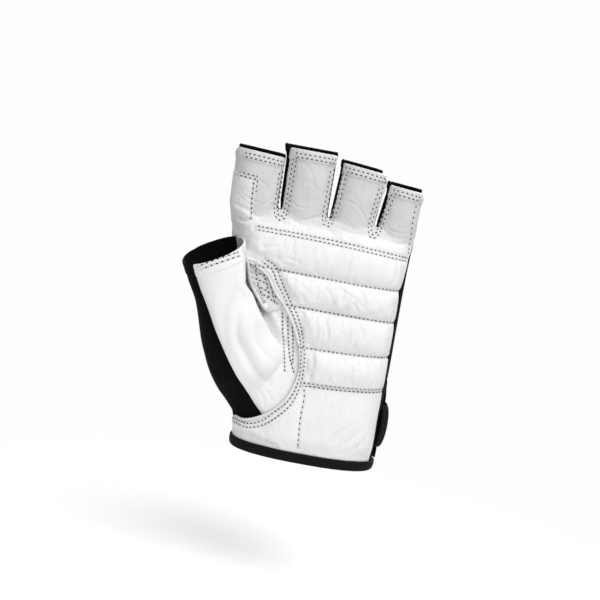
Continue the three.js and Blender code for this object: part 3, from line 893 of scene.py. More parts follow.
@dataclass(frozen=True)
class HandForm:
    """The space that the hand fills: a lofted palm, a lofted thumb and four finger stalls."""

    crotch: float = 0.12
    wrist: tuple[float, float, float, float] = (0.0364, 0.0343, 0.0205, 0.0195)
    knuckle_depths: tuple[float, float] = (0.014, 0.0145)
    knuckle_shift: float = -0.012
    sheet: float = 0.0012
    finger_gap: float = 0.001
    forward: float = 0.0015
    finger_lean: float = math.radians(9.0)
    thumb_size: tuple[float, float] = (0.0295, 0.024)
    thumb_turn: float = math.radians(29.0)
    thumb_lean: float = math.radians(18.0)
    squareness: float = 2.4
    stall_squareness: float = 2.3
    root_share: float = -0.11
    root_taper: float = 0.8
    root_inward: float = 0.93
    past: float = 0.008
    palm_faces: tuple[int, int] = (128, 90)
    stall_faces: tuple[int, int] = (64, 40)
    thumb_faces: int = 64
    voxel: float = 0.0009
    evened: int = 6
    stalls: tuple[Stall, ...] = (
        Stall(0.0224, 0.0186, 0.0276, -0.0009, 1.0, -0.056),
        Stall(0.0216, 0.0192, 0.0326, -0.0008, 1.01, 0.0),
        Stall(0.0206, 0.0186, 0.029, 0.0017, 1.04, -0.092),
        Stall(0.0178, 0.0166, 0.0228, 0.0009, 0.84, -0.09),
    )
    wrist_shares: tuple[tuple[float, ...], ...] = (
        (0.0, 1.0, 1.0, 1.0, 1.0),
        (0.1, 1.03, 1.0, 1.0, 1.0),
        (0.2, 1.12, 1.0, 0.97, 1.0),
        (0.34, 1.2, 1.0, 0.9, 1.0),
        (0.48, 1.3, 1.0, 0.84, 0.93),
        (0.64, 1.38, 1.0, 0.78, 0.86),
    )
    knuckle_shares: tuple[tuple[float, ...], ...] = (
        (0.77, 0.905, 0.99, 1.08, 1.02),
        (0.87, 0.94, 0.99, 1.02, 0.95),
        (0.92, 0.955, 0.995, 0.95, 0.88),
        (0.96, 0.975, 1.0, 0.86, 0.79),
        (0.99, 0.985, 0.99, 0.76, 0.7),
        (1.0, 0.975, 0.975, 0.66, 0.62),
    )
    thumb_shares: tuple[tuple[float, ...], ...] = (
        (-0.32, -0.1, 0.19, 0.72, 0.78),
        (-0.367, -0.24, 0.301, 1.14, 1.1),
        (-0.394, -0.44, 0.381, 1.34, 1.3),
        (-0.476, -0.61, 0.4675, 1.15, 1.25),
        (-0.523, -0.76, 0.542, 1.04, 1.17),
        (-0.585, -0.88, 0.6325, 0.9, 1.07),
        (-0.635, -1.0, 0.735, 0.97, 1.02),
        (-0.674, -1.1, 0.8025, 1.0, 1.0),
    )

    @property
    def breadth(self) -> float:
        """The inside width over all four knuckles."""
        between = (len(self.stalls) - 1) * (2 * self.sheet + self.finger_gap)
        return sum(stall.width for stall in self.stalls) + between

    @property
    def middles(self) -> list[float]:
        """Where the middle of each stall stands across the hand.

        Returns:
            The places across, from the index finger on.
        """
        left = self.knuckle_shift - self.breadth / 2
        found = []
        for stall in self.stalls:
            found.append(left + stall.width / 2)
            left += stall.width + 2 * self.sheet + self.finger_gap
        return found

    def places(self, shares: Pairs) -> Array:
        """Shares of breadth and height as places in the front view."""
        return np.asarray(shares, float) * (self.breadth, self.crotch)

    def half_sizes(self, z: Array) -> Array:
        """The palm's reach towards thumb, little finger, front and back at heights.

        Args:
            z: The heights.

        Returns:
            Four reaches for each height.
        """
        knuckles = (
            self.breadth / 2 - self.knuckle_shift,
            self.breadth / 2 + self.knuckle_shift,
            *self.knuckle_depths,
        )
        low = np.asarray(self.wrist_shares, float) * (self.crotch, *self.wrist)
        high = np.asarray(self.knuckle_shares, float) * (self.crotch, *knuckles)
        rows = np.vstack([low, high])
        place, size = rows[:, 0], rows[:, 1:]
        i = np.clip(np.searchsorted(place, z, side="right") - 1, 0, len(rows) - 2)
        before, after = np.maximum(i - 1, 0), np.minimum(i + 2, len(rows) - 1)
        span = (place[i + 1] - place[i])[:, None]
        t = np.clip((z - place[i])[:, None] / span, 0.0, 1.0)
        rise = size[i + 1] - size[i]
        run_in = np.maximum(place[i] - place[before], 1e-9)[:, None]
        run_out = np.maximum(place[after] - place[i + 1], 1e-9)[:, None]
        into = 0.5 * (rise + (size[i] - size[before]) * span / run_in)
        out = 0.5 * (rise + (size[after] - size[i + 1]) * span / run_out)
        cube, square = t**3, t**2
        return (
            (2 * cube - 3 * square + 1) * size[i] + (cube - 2 * square + t) * into
            + (3 * square - 2 * cube) * size[i + 1] + (cube - square) * out
        )

    @staticmethod
    def rounded(value: Array, power: float) -> Array:
        """A cosine or sine raised so that the section grows squarer."""
        return np.sign(value) * np.abs(value) ** (2.0 / power)

    def palm_points(self, turn: Array, z: Array, offset: float | Array = 0.0) -> Array:
        """Points of the palm's surface at angles round the hand and at heights.

        Args:
            turn: The angles, from the little finger's side towards the back.
            z: The heights.
            offset: How far they lie outside the form.

        Returns:
            The points.
        """
        radial, ulnar, front, back = self.half_sizes(np.clip(z, 0.0, self.crotch)).T
        c = self.rounded(np.cos(turn), self.squareness)
        s = self.rounded(np.sin(turn), self.squareness)
        x = c * (np.where(c > 0, ulnar, radial) + offset)
        y = s * (np.where(s > 0, back, front) + offset)
        return np.stack([x, y, z], axis=1)

    def stall_depth(self, z: Array) -> Array:
        """The depth of the stalls' middle at heights."""
        return -self.forward - math.tan(self.finger_lean) * np.maximum(0.0, z - self.crotch)

    def thumb_axes(self) -> tuple[Array, Array, Array]:
        """The thumb's directions: across it, along it, and towards its back.

        Returns:
            Three directions, each one long.
        """
        turn, lean = self.thumb_turn, self.thumb_lean
        across = np.array([math.cos(turn), 0.0, math.sin(turn)])
        line = np.array([
            -math.sin(turn) * math.cos(lean), -math.sin(lean), math.cos(turn) * math.cos(lean),
        ])
        return across, line, np.cross(line, across)

    def thumb_rings(self, count: int = 56) -> Array:
        """The rings that the thumb is lofted through.

        Args:
            count: How many steps its length is divided into.

        Returns:
            For each ring its middle in three dimensions, its half width and its half depth.
        """
        wide, deep = self.thumb_size
        scale = (self.breadth, self.wrist[2], self.crotch, wide / 2, deep / 2)
        rings = curve_through(np.asarray(self.thumb_shares) * scale, count)
        last = rings[-1].copy()
        last[:3] += self.thumb_axes()[1] * self.past
        return np.vstack([rings, last])

    def thumb_place(self, points: Array) -> tuple[Array, Array, Array]:
        """Where points lie in the thumb.

        Args:
            points: The points.

        Returns:
            The distance along the thumb's line, the size of the ring that passes through each
            point as a share of the thumb's own ring, and that ring's mean radius.
        """
        across, line, out = self.thumb_axes()
        rings = self.thumb_rings()
        run = rings[:, :3] @ line
        along = points @ line
        ring = np.stack([np.interp(along, run, column) for column in rings.T], axis=1)
        away, wide, deep = points - ring[:, :3], ring[:, 3], ring[:, 4]
        power = self.stall_squareness
        sizes = np.abs(away @ across / wide) ** power + np.abs(away @ out / deep) ** power
        share = sizes ** (1 / power)
        return along, share, (wide + deep) / 2

    def _palm_tube(self) -> Mesh:
        """The palm, from below the cuff to the notches between the fingers."""
        def place(around: Array, up: Array) -> Array:
            """Points by shares round and up."""
            z = -self.past + up * (self.crotch + self.past)
            return self.palm_points(2 * math.pi * around, z)
        return wrapped(*self.palm_faces, place)

    def _stall_tube(self, number: int) -> Mesh:
        """One stall, from inside the palm to past its top.

        Args:
            number: Which finger, 0 for the index.

        Returns:
            The tube's mesh.
        """
        stall, middle = self.stalls[number], self.middles[number]
        root = self.root_share * self.crotch
        power = self.stall_squareness

        def place(around: Array, up: Array) -> Array:
            """Points of the stall.

            Args:
                around: Shares of the way round it.
                up: Shares of its height.

            Returns:
                The points.
            """
            height = root + up * (stall.length + self.past - root)
            t = np.maximum(0.0, height / stall.length)
            low = np.clip(height / root, 0.0, 1.0)
            taper = 1.0 - (1.0 - self.root_taper) * low
            wide = stall.width / 2 * taper * (1 + t * (stall.top_share - 1))
            deep = stall.depth / 2 * taper
            turn = 2 * math.pi * around
            inward = 1.0 - (1.0 - self.root_inward) * low
            x = middle * inward + stall.lean * t + wide * self.rounded(np.cos(turn), power)
            y = self.stall_depth(self.crotch + height) + deep * self.rounded(np.sin(turn), power)
            return np.stack([x, y, self.crotch + height], axis=1)
        return wrapped(*self.stall_faces, place)

    def _thumb_tube(self) -> Mesh:
        """The thumb, from inside the palm to past its opening.

        Returns:
            The tube's mesh.
        """
        across, _, out = self.thumb_axes()
        rings = self.thumb_rings()
        shares = np.linspace(0.0, 1.0, len(rings))

        def place(around: Array, up: Array) -> Array:
            """Points of the thumb.

            Args:
                around: Shares of the way round it.
                up: Shares of its length.

            Returns:
                The points.
            """
            ring = np.stack([np.interp(up, shares, column) for column in rings.T], axis=1)
            turn = 2 * math.pi * around
            wide = ring[:, 3] * self.rounded(np.cos(turn), self.stall_squareness)
            deep = ring[:, 4] * self.rounded(np.sin(turn), self.stall_squareness)
            return ring[:, :3] + wide[:, None] * across + deep[:, None] * out
        return wrapped(self.thumb_faces, len(rings) - 1, place)

    def skin(self) -> Skin:
        """The whole form's surface, palm, thumb and fingers grown together.

        Returns:
            The surface as one closed skin.
        """
        joined = bmesh.new()
        tubes = [self._palm_tube(), self._thumb_tube()]
        tubes += [self._stall_tube(number) for number in range(len(self.stalls))]
        for tube in tubes:
            joined.from_mesh(tube)
        settings = {"mode": "VOXEL", "voxel_size": self.voxel}
        grown = with_modifier(as_mesh("hand_form", joined), "REMESH", settings)
        return Skin.of(grown).smooth(self.evened)


@dataclass(frozen=True)
class Pattern:
    """Where the seams and edges of the glove's pieces run on the hand form.

    Its zones take points, n by 3, and give a value for each that is positive inside.
    """

    form: HandForm
    hole_shares: Pairs = (
        (-0.64, 0.78), (-0.48, 0.769), (-0.407, 0.752), (-0.354, 0.721), (-0.316, 0.675),
        (-0.232, 0.6025), (-0.171, 0.527), (-0.13, 0.4475), (-0.1155, 0.365), (-0.138, 0.277),
        (-0.179, 0.22), (-0.2495, 0.1675), (-0.324, 0.136), (-0.378, 0.1325), (-0.435, 0.141),
        (-0.52, 0.16), (-0.75, 0.2),
    )
    thumb_seam_shares: Pairs = (
        (-0.8, 0.84), (-0.754, 0.74), (-0.708, 0.662), (-0.651, 0.585), (-0.569, 0.469),
        (-0.475, 0.356), (-0.403, 0.282), (-0.324, 0.2075), (-0.265, 0.166), (-0.2, 0.12),
    )
    web_patch_shares: Pairs = (
        (-0.52, 0.78), (-0.37, 0.765), (-0.33, 0.735), (-0.279, 0.681), (-0.259, 0.62),
        (-0.326, 0.584), (-0.376, 0.596), (-0.442, 0.66), (-0.492, 0.704),
    )
    ulnar_shares: Pairs = ((-0.56, 0.0), (-0.56, 0.76), (-0.3, 0.9), (-0.1, 0.97))
    radial_shares: Pairs = ((0.2, 0.0), (0.2, 0.97))
    wall_half_share: float = 0.38
    wall_low_share: float = 0.955
    side_patch_shares: Triple = (-0.508, 0.921, 1.138)
    far: float = 0.3
    slit_height: float = 0.042
    slit_mouth: float = 0.01
    slit_behind: float = 0.005
    web_reach: float = 0.012
    web_turn: Span = (-0.1, 0.3)
    thumb_middle: int = 4

    @property
    def wall_half(self) -> float:
        """Half the width of the walls between two stalls."""
        return self.wall_half_share * self.form.stalls[1].depth / 2

    def hole_edge(self) -> Array:
        """The edge of the thumb hole in the palm leather, in the front view."""
        return curve_through(self.form.places(self.hole_shares), 120)

    def thumb_seam(self) -> Array:
        """The seam between thumb leather and thumb fabric, in the front view."""
        return curve_through(self.form.places(self.thumb_seam_shares), 60)

    def _left_of(self, line: Array) -> Callable[[Array, Array], Array]:
        """A field that is positive on the thumb's side of a line."""
        far = np.array([[-self.far, line[-1, 1]], [-self.far, line[0, 1]]])
        return inside_outline(np.vstack([line, far]))

    def palm_side(self, points: Array) -> Array:
        """Positive in front of the seams between leather and fabric.

        Args:
            points: The points, n by 3.

        Returns:
            One value a point.
        """
        x, y, z = points.T
        form = self.form
        top = [form.crotch, form.crotch + self.far]
        high = form.stall_depth(np.array(top)) + self.wall_half

        def limit(shares: Pairs) -> Array:
            """The seam's depth at each point's height."""
            depths, heights = np.asarray(shares).T
            depths = np.append(depths * form.knuckle_depths[1], high)
            return np.interp(z, np.append(heights * form.crotch, top), depths)
        return np.where(x > 0, limit(self.ulnar_shares), limit(self.radial_shares)) - y

    def walls(self, points: Array, number: int | None = None) -> Array:
        """Positive in the side walls between two stalls, or in those between all stalls.

        Args:
            points: The points, n by 3.
            number: Which walls, counted from the index finger.

        Returns:
            One value a point.
        """
        x, y, z = points.T
        form = self.form
        middle = -math.tan(form.finger_lean) * np.maximum(0.0, z - form.crotch)
        band = np.minimum(self.wall_half - np.abs(y - middle), z - self.wall_low_share * form.crotch)
        numbers = range(len(form.stalls) - 1) if number is None else [number]
        sides = [np.minimum(x - form.middles[n], form.middles[n + 1] - x) for n in numbers]
        return np.minimum(band, np.max(sides, axis=0))

    def hole(self, points: Array) -> Array:
        """Positive inside the thumb hole, on the palm's side."""
        x, y, z = points.T
        limit = self.radial_shares[0][0] * self.form.knuckle_depths[1]
        return np.minimum(self._left_of(self.hole_edge())(x, z), limit - y)

    def on_thumb(self, points: Array) -> Array:
        """Positive on the thumb's own surface."""
        _, share, radius = self.form.thumb_place(points)
        return self.form.sheet - (share - 1.0) * radius

    def thumb_behind(self, points: Array) -> Array:
        """Positive on the black side of the thumb: outside its seam, or behind its middle.

        Towards the palm the leather reaches round the thumb, to the patch in the web.

        Args:
            points: The points, n by 3.

        Returns:
            One value a point.
        """
        form = self.form
        across, _, out = form.thumb_axes()
        middle = np.asarray(form.thumb_shares[self.thumb_middle][:3])
        middle = middle * (form.breadth, form.wrist[2], form.crotch)
        outside = self._left_of(self.thumb_seam())(points[:, 0], points[:, 2])
        turned = (points - middle) @ across / form.thumb_size[0]
        reach = self.web_reach * soft_step(*self.web_turn, turned)
        return np.maximum(outside, (points - middle) @ out - reach)

    def thumb_top(self, points: Array) -> Array:
        """Positive below the thumb's opening."""
        _, line, _ = self.form.thumb_axes()
        return self.form.thumb_rings()[-2, :3] @ line - points @ line

    def tops(self, points: Array, rise: float) -> Array:
        """Positive below the edges of the four stalls.

        Args:
            points: The points, n by 3.
            rise: How much higher they stand than the leather's edges.

        Returns:
            One value a point.
        """
        x, _, z = points.T
        form = self.form
        middles = np.asarray(form.middles)
        near = np.abs(x[:, None] - middles).argmin(axis=1)
        lengths = np.array([stall.length for stall in form.stalls])[near]
        slopes = np.array([stall.slope for stall in form.stalls])[near]
        return form.crotch + lengths + slopes * (x - middles[near]) + rise - z

    def slit(self, points: Array) -> Array:
        """Positive inside the slit in the cuff."""
        x, y, z = points.T
        half = np.interp(z, [0.0, self.slit_height], [self.slit_mouth / 2, 0.0])
        inside = np.minimum(half - np.abs(y - self.slit_behind), self.slit_height - z)
        return np.where(x > 0, inside, -self.far)

    def web_patch(self, points: Array) -> Array:
        """Positive inside the patch on the web of the thumb."""
        outline = curve_through(self.form.places(self.web_patch_shares), 60)
        inside = inside_outline(outline)(points[:, 0], points[:, 2])
        return np.minimum(inside, -points[:, 1])

    def side_patch(self, points: Array) -> Array:
        """Positive inside the patch on the outer side of the index finger.

        Args:
            points: The points, n by 3.

        Returns:
            One value a point.
        """
        x, _, z = points.T
        inner, low, high = self.side_patch_shares
        form = self.form
        band = np.minimum(z - low * form.crotch, high * form.crotch - z)
        return np.minimum(inner * form.breadth - x, band)


# Rows of stitches and creases, drawn in the front view in millimetres.


def mm(points: Pairs) -> Array:
    """Millimetres as metres."""
    return np.asarray(points, float) * MM


def beside(line: Array, distance: float) -> Array:
    """A line beside another one in the same view, on the right of its run."""
    way = unit(np.gradient(line, axis=0))
    return line + np.stack([way[:, 1], -way[:, 0]], axis=1) * distance


@dataclass(frozen=True)
class Row:
    """One row of stitches, sewn through whatever sheet it lies on."""

    points: Pairs
    twin: float = 0.0
    pitch: float = 0.0028
    draw_in: float = 0.00035

    def lines(self) -> list[Array]:
        """The row, or the two rows that run beside each other."""
        line = curve_through(mm(self.points), STEPS * (len(self.points) - 1))
        return [beside(line, side * self.twin / 2) for side in (-1, 1)] if self.twin else [line]


def rows(twin: float, pitch: float, draw_in: float, *lines: Pairs) -> tuple[Row, ...]:
    """Several rows sewn in the same way."""
    return tuple(Row(line, twin, pitch, draw_in) for line in lines)


@dataclass(frozen=True)
class Crease:
    """A fold in the leather, deepest in its middle, with a low ridge on each side.

    The sheet may stand lower by drop on the left of the crease's run, and as much higher on its
    right, which fades out over the reach.
    """

    points: Pairs
    depth: float = 0.0003
    width: float = 0.0009
    drop: float = 0.0
    reach: float = 0.005
    RIDGE: ClassVar[float] = 0.45
    TAPER: ClassVar[float] = 0.6
    SHADOW: ClassVar[float] = 300.0

    @property
    def margin(self) -> float:
        """How far round its line it shapes the sheet."""
        return max(4 * self.width, 2.5 * self.reach * (self.drop > 0))

    def height(self, gap: Array, side: Array) -> Array:
        """How high it leaves the sheet."""
        dent = -hump(gap, self.width) + self.RIDGE * hump(gap - 2 * self.width, self.width)
        step = -side * np.tanh(gap / self.width) * hump(gap, self.reach)
        return self.depth * dent + self.drop * step


class Seams:
    """All rows of stitches that the front shows."""

    quilting = (
        Row(((-45, 110.4), (-22, 110.6), (0.0, 110.2), (18, 109.3), (33, 108.2)), 0.0017, 0.0022),
        Row(((-44, 92), (-20, 92.2), (10, 91.9), (33.2, 92)), pitch=0.0022),
        Row(((-26, 75.8), (0.0, 75.9), (34, 75.8)), pitch=0.0022),
        Row(((-19.5, 56.5), (5, 57), (33.8, 58.2)), pitch=0.0022),
        Row(((-8.7, 38.7), (10, 39.6), (34, 41.1)), 0.0016, 0.0022, draw_in=0.00012),
    )
    hole = rows(
        0.0, 0.0021, 0.00045,
        (
            (-38.5, 94.5), (-32.7, 91.6), (-28.5, 85.2), (-23.8, 79), (-18.4, 71.8), (-13.8, 63.5),
            (-11, 53.9), (-9.7, 44), (-10.3, 36.2), (-13, 29.1), (-18, 23.1), (-24, 16.9),
            (-30.5, 13.7), (-38.5, 13.6),
        ),
        (
            (-37, 96.3), (-31, 93.4), (-26.1, 85.7), (-21.2, 78.5), (-16.4, 72.2), (-12.3, 63.8),
            (-9.3, 54.2), (-8.1, 45.2), (-8.6, 36.5), (-11.2, 28), (-16.2, 21.2), (-22.9, 14.9),
            (-30, 11.8), (-38, 11.6),
        ),
    )
    drop = (
        Row(((-7.5, 37.8), (-5.6, 34.6), (-5.3, 28.5), (-5.4, 23.4), (-4.7, 14.4), (-3.8, 6.9))),
    )
    finger_tops = rows(
        0.0019, 0.0024, 0.00025,
        ((-57.6, 144.9), (-47, 144.4), (-36, 143.7)),
        ((-32.6, 149.2), (-21.5, 149.4), (-10.6, 149.4)),
        ((-7.2, 146.8), (4, 145.9), (15.2, 144.6)),
        ((18.3, 140.4), (26, 139.7), (33.2, 138.9)),
    )
    notches = rows(
        0.0016, 0.0025, 0.00025,
        (
            (-36.9, 142), (-36.4, 130), (-36.2, 121.5), (-34.8, 117.9), (-33.3, 117),
            (-31.8, 118), (-30.9, 122.5), (-31, 134), (-31.3, 147.5),
        ),
        (
            (-12.2, 147.5), (-11.8, 134), (-11.9, 123.5), (-11, 119.2), (-9.7, 118.2),
            (-8.3, 119), (-7.1, 123.5), (-6.2, 133), (-5.7, 144.9),
        ),
        (
            (13.6, 143.2), (12.5, 134), (11.6, 123), (12.2, 118), (13.6, 116.7), (15.4, 117.6),
            (16.8, 122), (18.3, 131), (19.9, 139),
        ),
    )
    little_side = (
        Row(((32.2, 137.5), (32, 128), (32.9, 119), (33.2, 111.5)), draw_in=0.0002),
    )
    side_patch = rows(
        0.0017, 0.0025, 0.0002,
        ((-58.5, 135.4), (-53, 134.9), (-48.2, 134.6)),
        ((-48.4, 135.4), (-47.9, 126), (-46.9, 117), (-46.1, 111.2)),
    )
    thumb_rows = rows(
        0.0, 0.002, 0.0002,
        ((-23.9, 73), (-22.4, 65), (-20.4, 57.3), (-18.6, 50), (-17.2, 43)),
        ((-20.9, 71.4), (-19.6, 65), (-18, 57.6), (-15.6, 49.5), (-12.6, 43.5)),
        ((-19.2, 70.6), (-17.2, 64.5), (-15.8, 58.2), (-14, 48)),
    )
    thumb_top = (
        Row(((-67.5, 86.9), (-62.6, 90.2), (-56, 93.9), (-49.6, 97.3)), 0.0019, draw_in=0.0002),
    )
    web_patch = rows(
        0.0, 0.0022, 0.00025,
        ((-42, 90.6), (-36, 91), (-33, 88)),
        ((-42.2, 88.2), (-36.5, 88), (-31, 85.2)),
        ((-41.6, 85.6), (-36, 84.6), (-29.6, 82)),
        ((-40, 82.8), (-34.5, 81), (-28.4, 78.6)),
        ((-37.8, 80), (-33, 77.8), (-27, 75.4)),
        ((-41, 91.4), (-38.6, 84.5), (-35.2, 77.8)),
        ((-37.6, 91.6), (-34.4, 85), (-31.6, 78)),
        ((-34.6, 90.2), (-31.2, 83.2), (-28.8, 76.5)),
    )
    palm = (*quilting, *hole, *drop, *finger_tops, *notches, *little_side)
    thumb = (*thumb_rows, *thumb_top)


CREASES = (
    Crease(((-5.4, 131.4), (-1, 131.4), (2.6, 130.6)), 0.0002, 0.0006),
    Crease(((2.2, 131), (6.4, 127.2), (11, 121)), 0.0003, 0.0006),
    Crease(((-58.5, 120.4), (-50.5, 118), (-43, 115.6), (-36.4, 118.4)), 0.0003, 0.0008, 0.0004),
    Crease(((-57, 129), (-52, 125), (-46, 122.8), (-40.5, 123.4)), 0.00016, 0.0006),
    Crease(((-45.6, 119.4), (-41, 123.4), (-37.6, 128.4)), 0.0002, 0.0006),
    Crease(((-31.6, 119.6), (-24, 116), (-17, 115.6), (-10.6, 118.4)), 0.0003, 0.0008, 0.00045),
    Crease(((-26, 116.8), (-19, 119.4), (-12.6, 122.6)), 0.00025, 0.0006),
    Crease(((-31, 127.6), (-26, 124.4), (-18.5, 124.8)), 0.0002, 0.0006),
    Crease(((-24.6, 138.8), (-18, 135), (-13.2, 129.2)), 0.00018, 0.0006),
    Crease(((-6.6, 118.8), (0.0, 116.4), (6, 116.2), (12.4, 117.4)), 0.0003, 0.0008, 0.0004),
    Crease(((15.6, 117.6), (22, 115.4), (27, 115), (34, 115.8)), 0.0003, 0.0008, 0.0004),
    Crease(((18.4, 122.6), (25, 120.6), (32, 121.2)), 0.0002, 0.0006),
    Crease(((20.6, 116.4), (24.2, 121.6), (25, 127.6)), 0.00018, 0.0006),
    Crease(((-45.5, 114.4), (-39, 113.6), (-33.5, 115)), 0.0003, 0.0009),
    Crease(((-56, 113.8), (-50.6, 112.6), (-46.8, 114.6)), 0.0003, 0.0009),
    Crease(((-46.6, 98.6), (-41, 101), (-34, 103.4), (-26.5, 103.6)), 0.00018, 0.0009, 0.0001),
    Crease(((-45.8, 95.6), (-40.6, 97.8), (-34, 98.2), (-26, 95.6), (-18, 94.4)), 0.00025, 0.001, 0.0002),
    Crease(((-44, 104.8), (-36, 106.4), (-28, 107.4)), 0.00012, 0.0009),
    Crease(((-33, 97.8), (-24, 98.6), (-14, 95.6)), 0.00018, 0.0009),
    Crease(((8, 94.6), (9.4, 99), (8.6, 105)), 0.00016, 0.0008),
    Crease(((15, 94.2), (16.4, 99), (15.8, 105)), 0.00024, 0.0007),
    Crease(((21, 94), (23.2, 99), (22.2, 106.4)), 0.0003, 0.0007),
    Crease(((26.6, 94.2), (28.6, 99.6), (27.4, 105.6)), 0.0003, 0.0008),
    Crease(((-22, 89.8), (-16, 86.6), (-9.6, 81.6)), 0.00025, 0.0012),
    Crease(((-6, 88.6), (-1.4, 84.6), (0.6, 78.8)), 0.00028, 0.0008),
    Crease(((0.6, 88.8), (9.6, 85.6), (16.6, 80.2)), 0.00028, 0.0008),
    Crease(((8, 84), (13.2, 80), (14.6, 77.6)), 0.0002, 0.0008),
    Crease(((18.4, 87.6), (23, 83.6), (26, 78.4)), 0.0002, 0.0009),
    Crease(((-12.6, 61.4), (-12.2, 66.4), (-14, 72.4)), 0.0002, 0.0008),
    Crease(((-6, 60), (-5, 66.4), (-7.4, 73.4)), 0.00028, 0.0007),
    Crease(((-0.6, 59.4), (0.6, 65), (-2.8, 73.8)), 0.00034, 0.0008),
    Crease(((4.6, 60.8), (5.6, 67), (2.6, 73.4)), 0.00026, 0.0007),
    Crease(((10.4, 60.6), (11, 66), (9.6, 71.4)), 0.00022, 0.0008),
    Crease(((21.6, 61.2), (23.4, 67), (22.6, 72)), 0.0002, 0.0009),
    Crease(((-4.4, 42.4), (-3.4, 48.4), (-5, 54.4)), 0.00024, 0.0008),
    Crease(((1.6, 42.8), (3.2, 48.4), (2, 54.6)), 0.0002, 0.0009),
    Crease(((14, 44), (15.6, 49.4), (14.8, 55.4)), 0.0002, 0.0009),
    Crease(((22.6, 44.6), (23.6, 49.4), (21.8, 55)), 0.0002, 0.0009),
    Crease(((9, 10.4), (14.4, 17.6), (21, 23.6)), 0.00026, 0.0011),
    Crease(((13.6, 9), (20.6, 14.6), (26.6, 22.4)), 0.00026, 0.001),
    Crease(((20.6, 8.6), (26, 12.6), (31, 19.4)), 0.00024, 0.001),
    Crease(((12.4, 36.6), (13.6, 28), (12, 19)), 0.00016, 0.0012),
    Crease((
        (-12.5, 4.6), (-17.5, 6.6), (-26.6, 8.4), (-31.5, 10), (-36.8, 10.6),
    ), 0.0003, 0.001, 0.0006, 0.004),
    Crease(((-29, 5.6), (-27.4, 9.6)), 0.0003, 0.0006),
    Crease(((-25.6, 5.4), (-23.6, 9.4)), 0.00035, 0.0006),
    Crease(((-21.6, 5.4), (-19.4, 8.8)), 0.0003, 0.0006),
    Crease(((-15.4, 5.4), (-13.8, 8.4)), 0.0003, 0.0006),
    Crease(((-10.6, 5.4), (-9.6, 8.2)), 0.00025, 0.0006),
    Crease(((4.6, 5.4), (5.4, 8.4)), 0.00018, 0.0006),
    Crease(((12.6, 5.4), (13.6, 8.6)), 0.00018, 0.0006),
)
THUMB_CREASES = (
    Crease((
        (-48, 101), (-45.2, 95.9), (-43, 86.1), (-42.6, 83.6), (-38.6, 79.3), (-34.3, 72.5),
        (-30.2, 67.1), (-25.6, 61.4), (-19.5, 56.4), (-14, 54.6),
    ), 0.0022, 0.0017, 0.0014, 0.007),
    Crease(((-43.7, 70), (-42.4, 57.6), (-36.5, 48.6), (-29.8, 40.4), (-21.6, 34.6)), 0.0009, 0.0023),
    Crease(((-50.6, 92), (-49, 80), (-50.4, 66), (-45.6, 50.6)), 0.0003, 0.003),
    Crease(((-36, 66), (-33.4, 57), (-27.6, 50.6), (-20, 46.6)), 0.0003, 0.0014),
    Crease(((-29.6, 70.6), (-25.6, 70), (-21.6, 70.8)), 0.00025, 0.0007),
    Crease(((-27.4, 66.6), (-23.6, 66), (-19.6, 66.8)), 0.00025, 0.0007),
    Crease(((-32.6, 31), (-29, 27), (-27.6, 22.6)), 0.00012, 0.0007),
    Crease(((-29.4, 31.6), (-25.6, 28), (-24, 24)), 0.00012, 0.0007),
    Crease(((-26, 33), (-22.6, 30), (-20.6, 26.6)), 0.00012, 0.0007),
)


def near_front(points: Array, line: Array, margin: float) -> Array:
    """Which points of the front lie near a line."""
    low, high = line.min(axis=0) - margin, line.max(axis=0) + margin
    flat = points[:, [0, 2]]
    return np.all((flat > low) & (flat < high), axis=1) & (points[:, 1] < 0.0)


@dataclass(frozen=True)
class Needle:
    """How a row of stitches shapes the sheet that it holds."""

    reach: float = 0.005
    width: float = 0.0009
    beat: float = 0.3
    pucker: float = 0.28
    pucker_place: float = 0.0016
    # How wide the painted shade along a row is.
    groove: float = 0.0006

    def sew(self, skin: Skin, sewn: Iterable[Row], shade: float) -> None:
        """Draws a sheet in along its rows of stitches, puckers it and paints shade into the grooves.

        Args:
            skin: The sheet.
            sewn: The rows sewn through it.
            shade: How strong the painted shade in the groove is, from 0 to 1.
        """
        points = skin.points()
        amounts = np.zeros(len(points))
        groove = np.zeros(len(points))
        for row in sewn:
            for line in row.lines():
                near = near_front(points, line, self.reach)
                if not near.any():
                    continue
                gap, run, _ = distance_to_line(line, points[near][:, [0, 2]])
                beat = np.cos(2 * math.pi * run / row.pitch)
                amounts[near] -= row.draw_in * hump(gap, self.width) * (1.0 + self.beat * beat)
                folds = beat * hump(gap - self.pucker_place, self.width)
                amounts[near] += row.draw_in * self.pucker * folds
                # Painted shade along the row's groove.
                groove[near] = np.maximum(groove[near], shade * hump(gap, self.groove))
        skin.push(amounts)
        skin.paint_shade(groove)


NEEDLE = Needle()


def creased(skin: Skin, creases: Iterable[Crease]) -> None:
    """Presses creases into a sheet and paints shadow along them.

    Args:
        skin: The sheet.
        creases: Its creases; those that lie elsewhere do nothing.
    """
    points = skin.points()
    amounts = np.zeros(len(points))
    dark = np.zeros(len(points))
    for crease in creases:
        line = curve_through(mm(crease.points), CREASE_STEPS * (len(crease.points) - 1))
        near = near_front(points, line, crease.margin)
        if not near.any():
            continue
        gap, run, side = distance_to_line(line, points[near][:, [0, 2]])
        share = np.clip(run / lengths_along(line)[-1], 0.0, 1.0)
        taper = np.sin(math.pi * share) ** crease.TAPER
        amounts[near] += taper * crease.height(gap, side)
        shadow = taper * crease.SHADOW * crease.depth * hump(gap, 0.6 * crease.width)
        dark[near] = np.maximum(dark[near], shadow)
    skin.push(amounts)
    # Painted shadow along the creases.
    skin.paint_shade(np.minimum(dark, DARKEST))


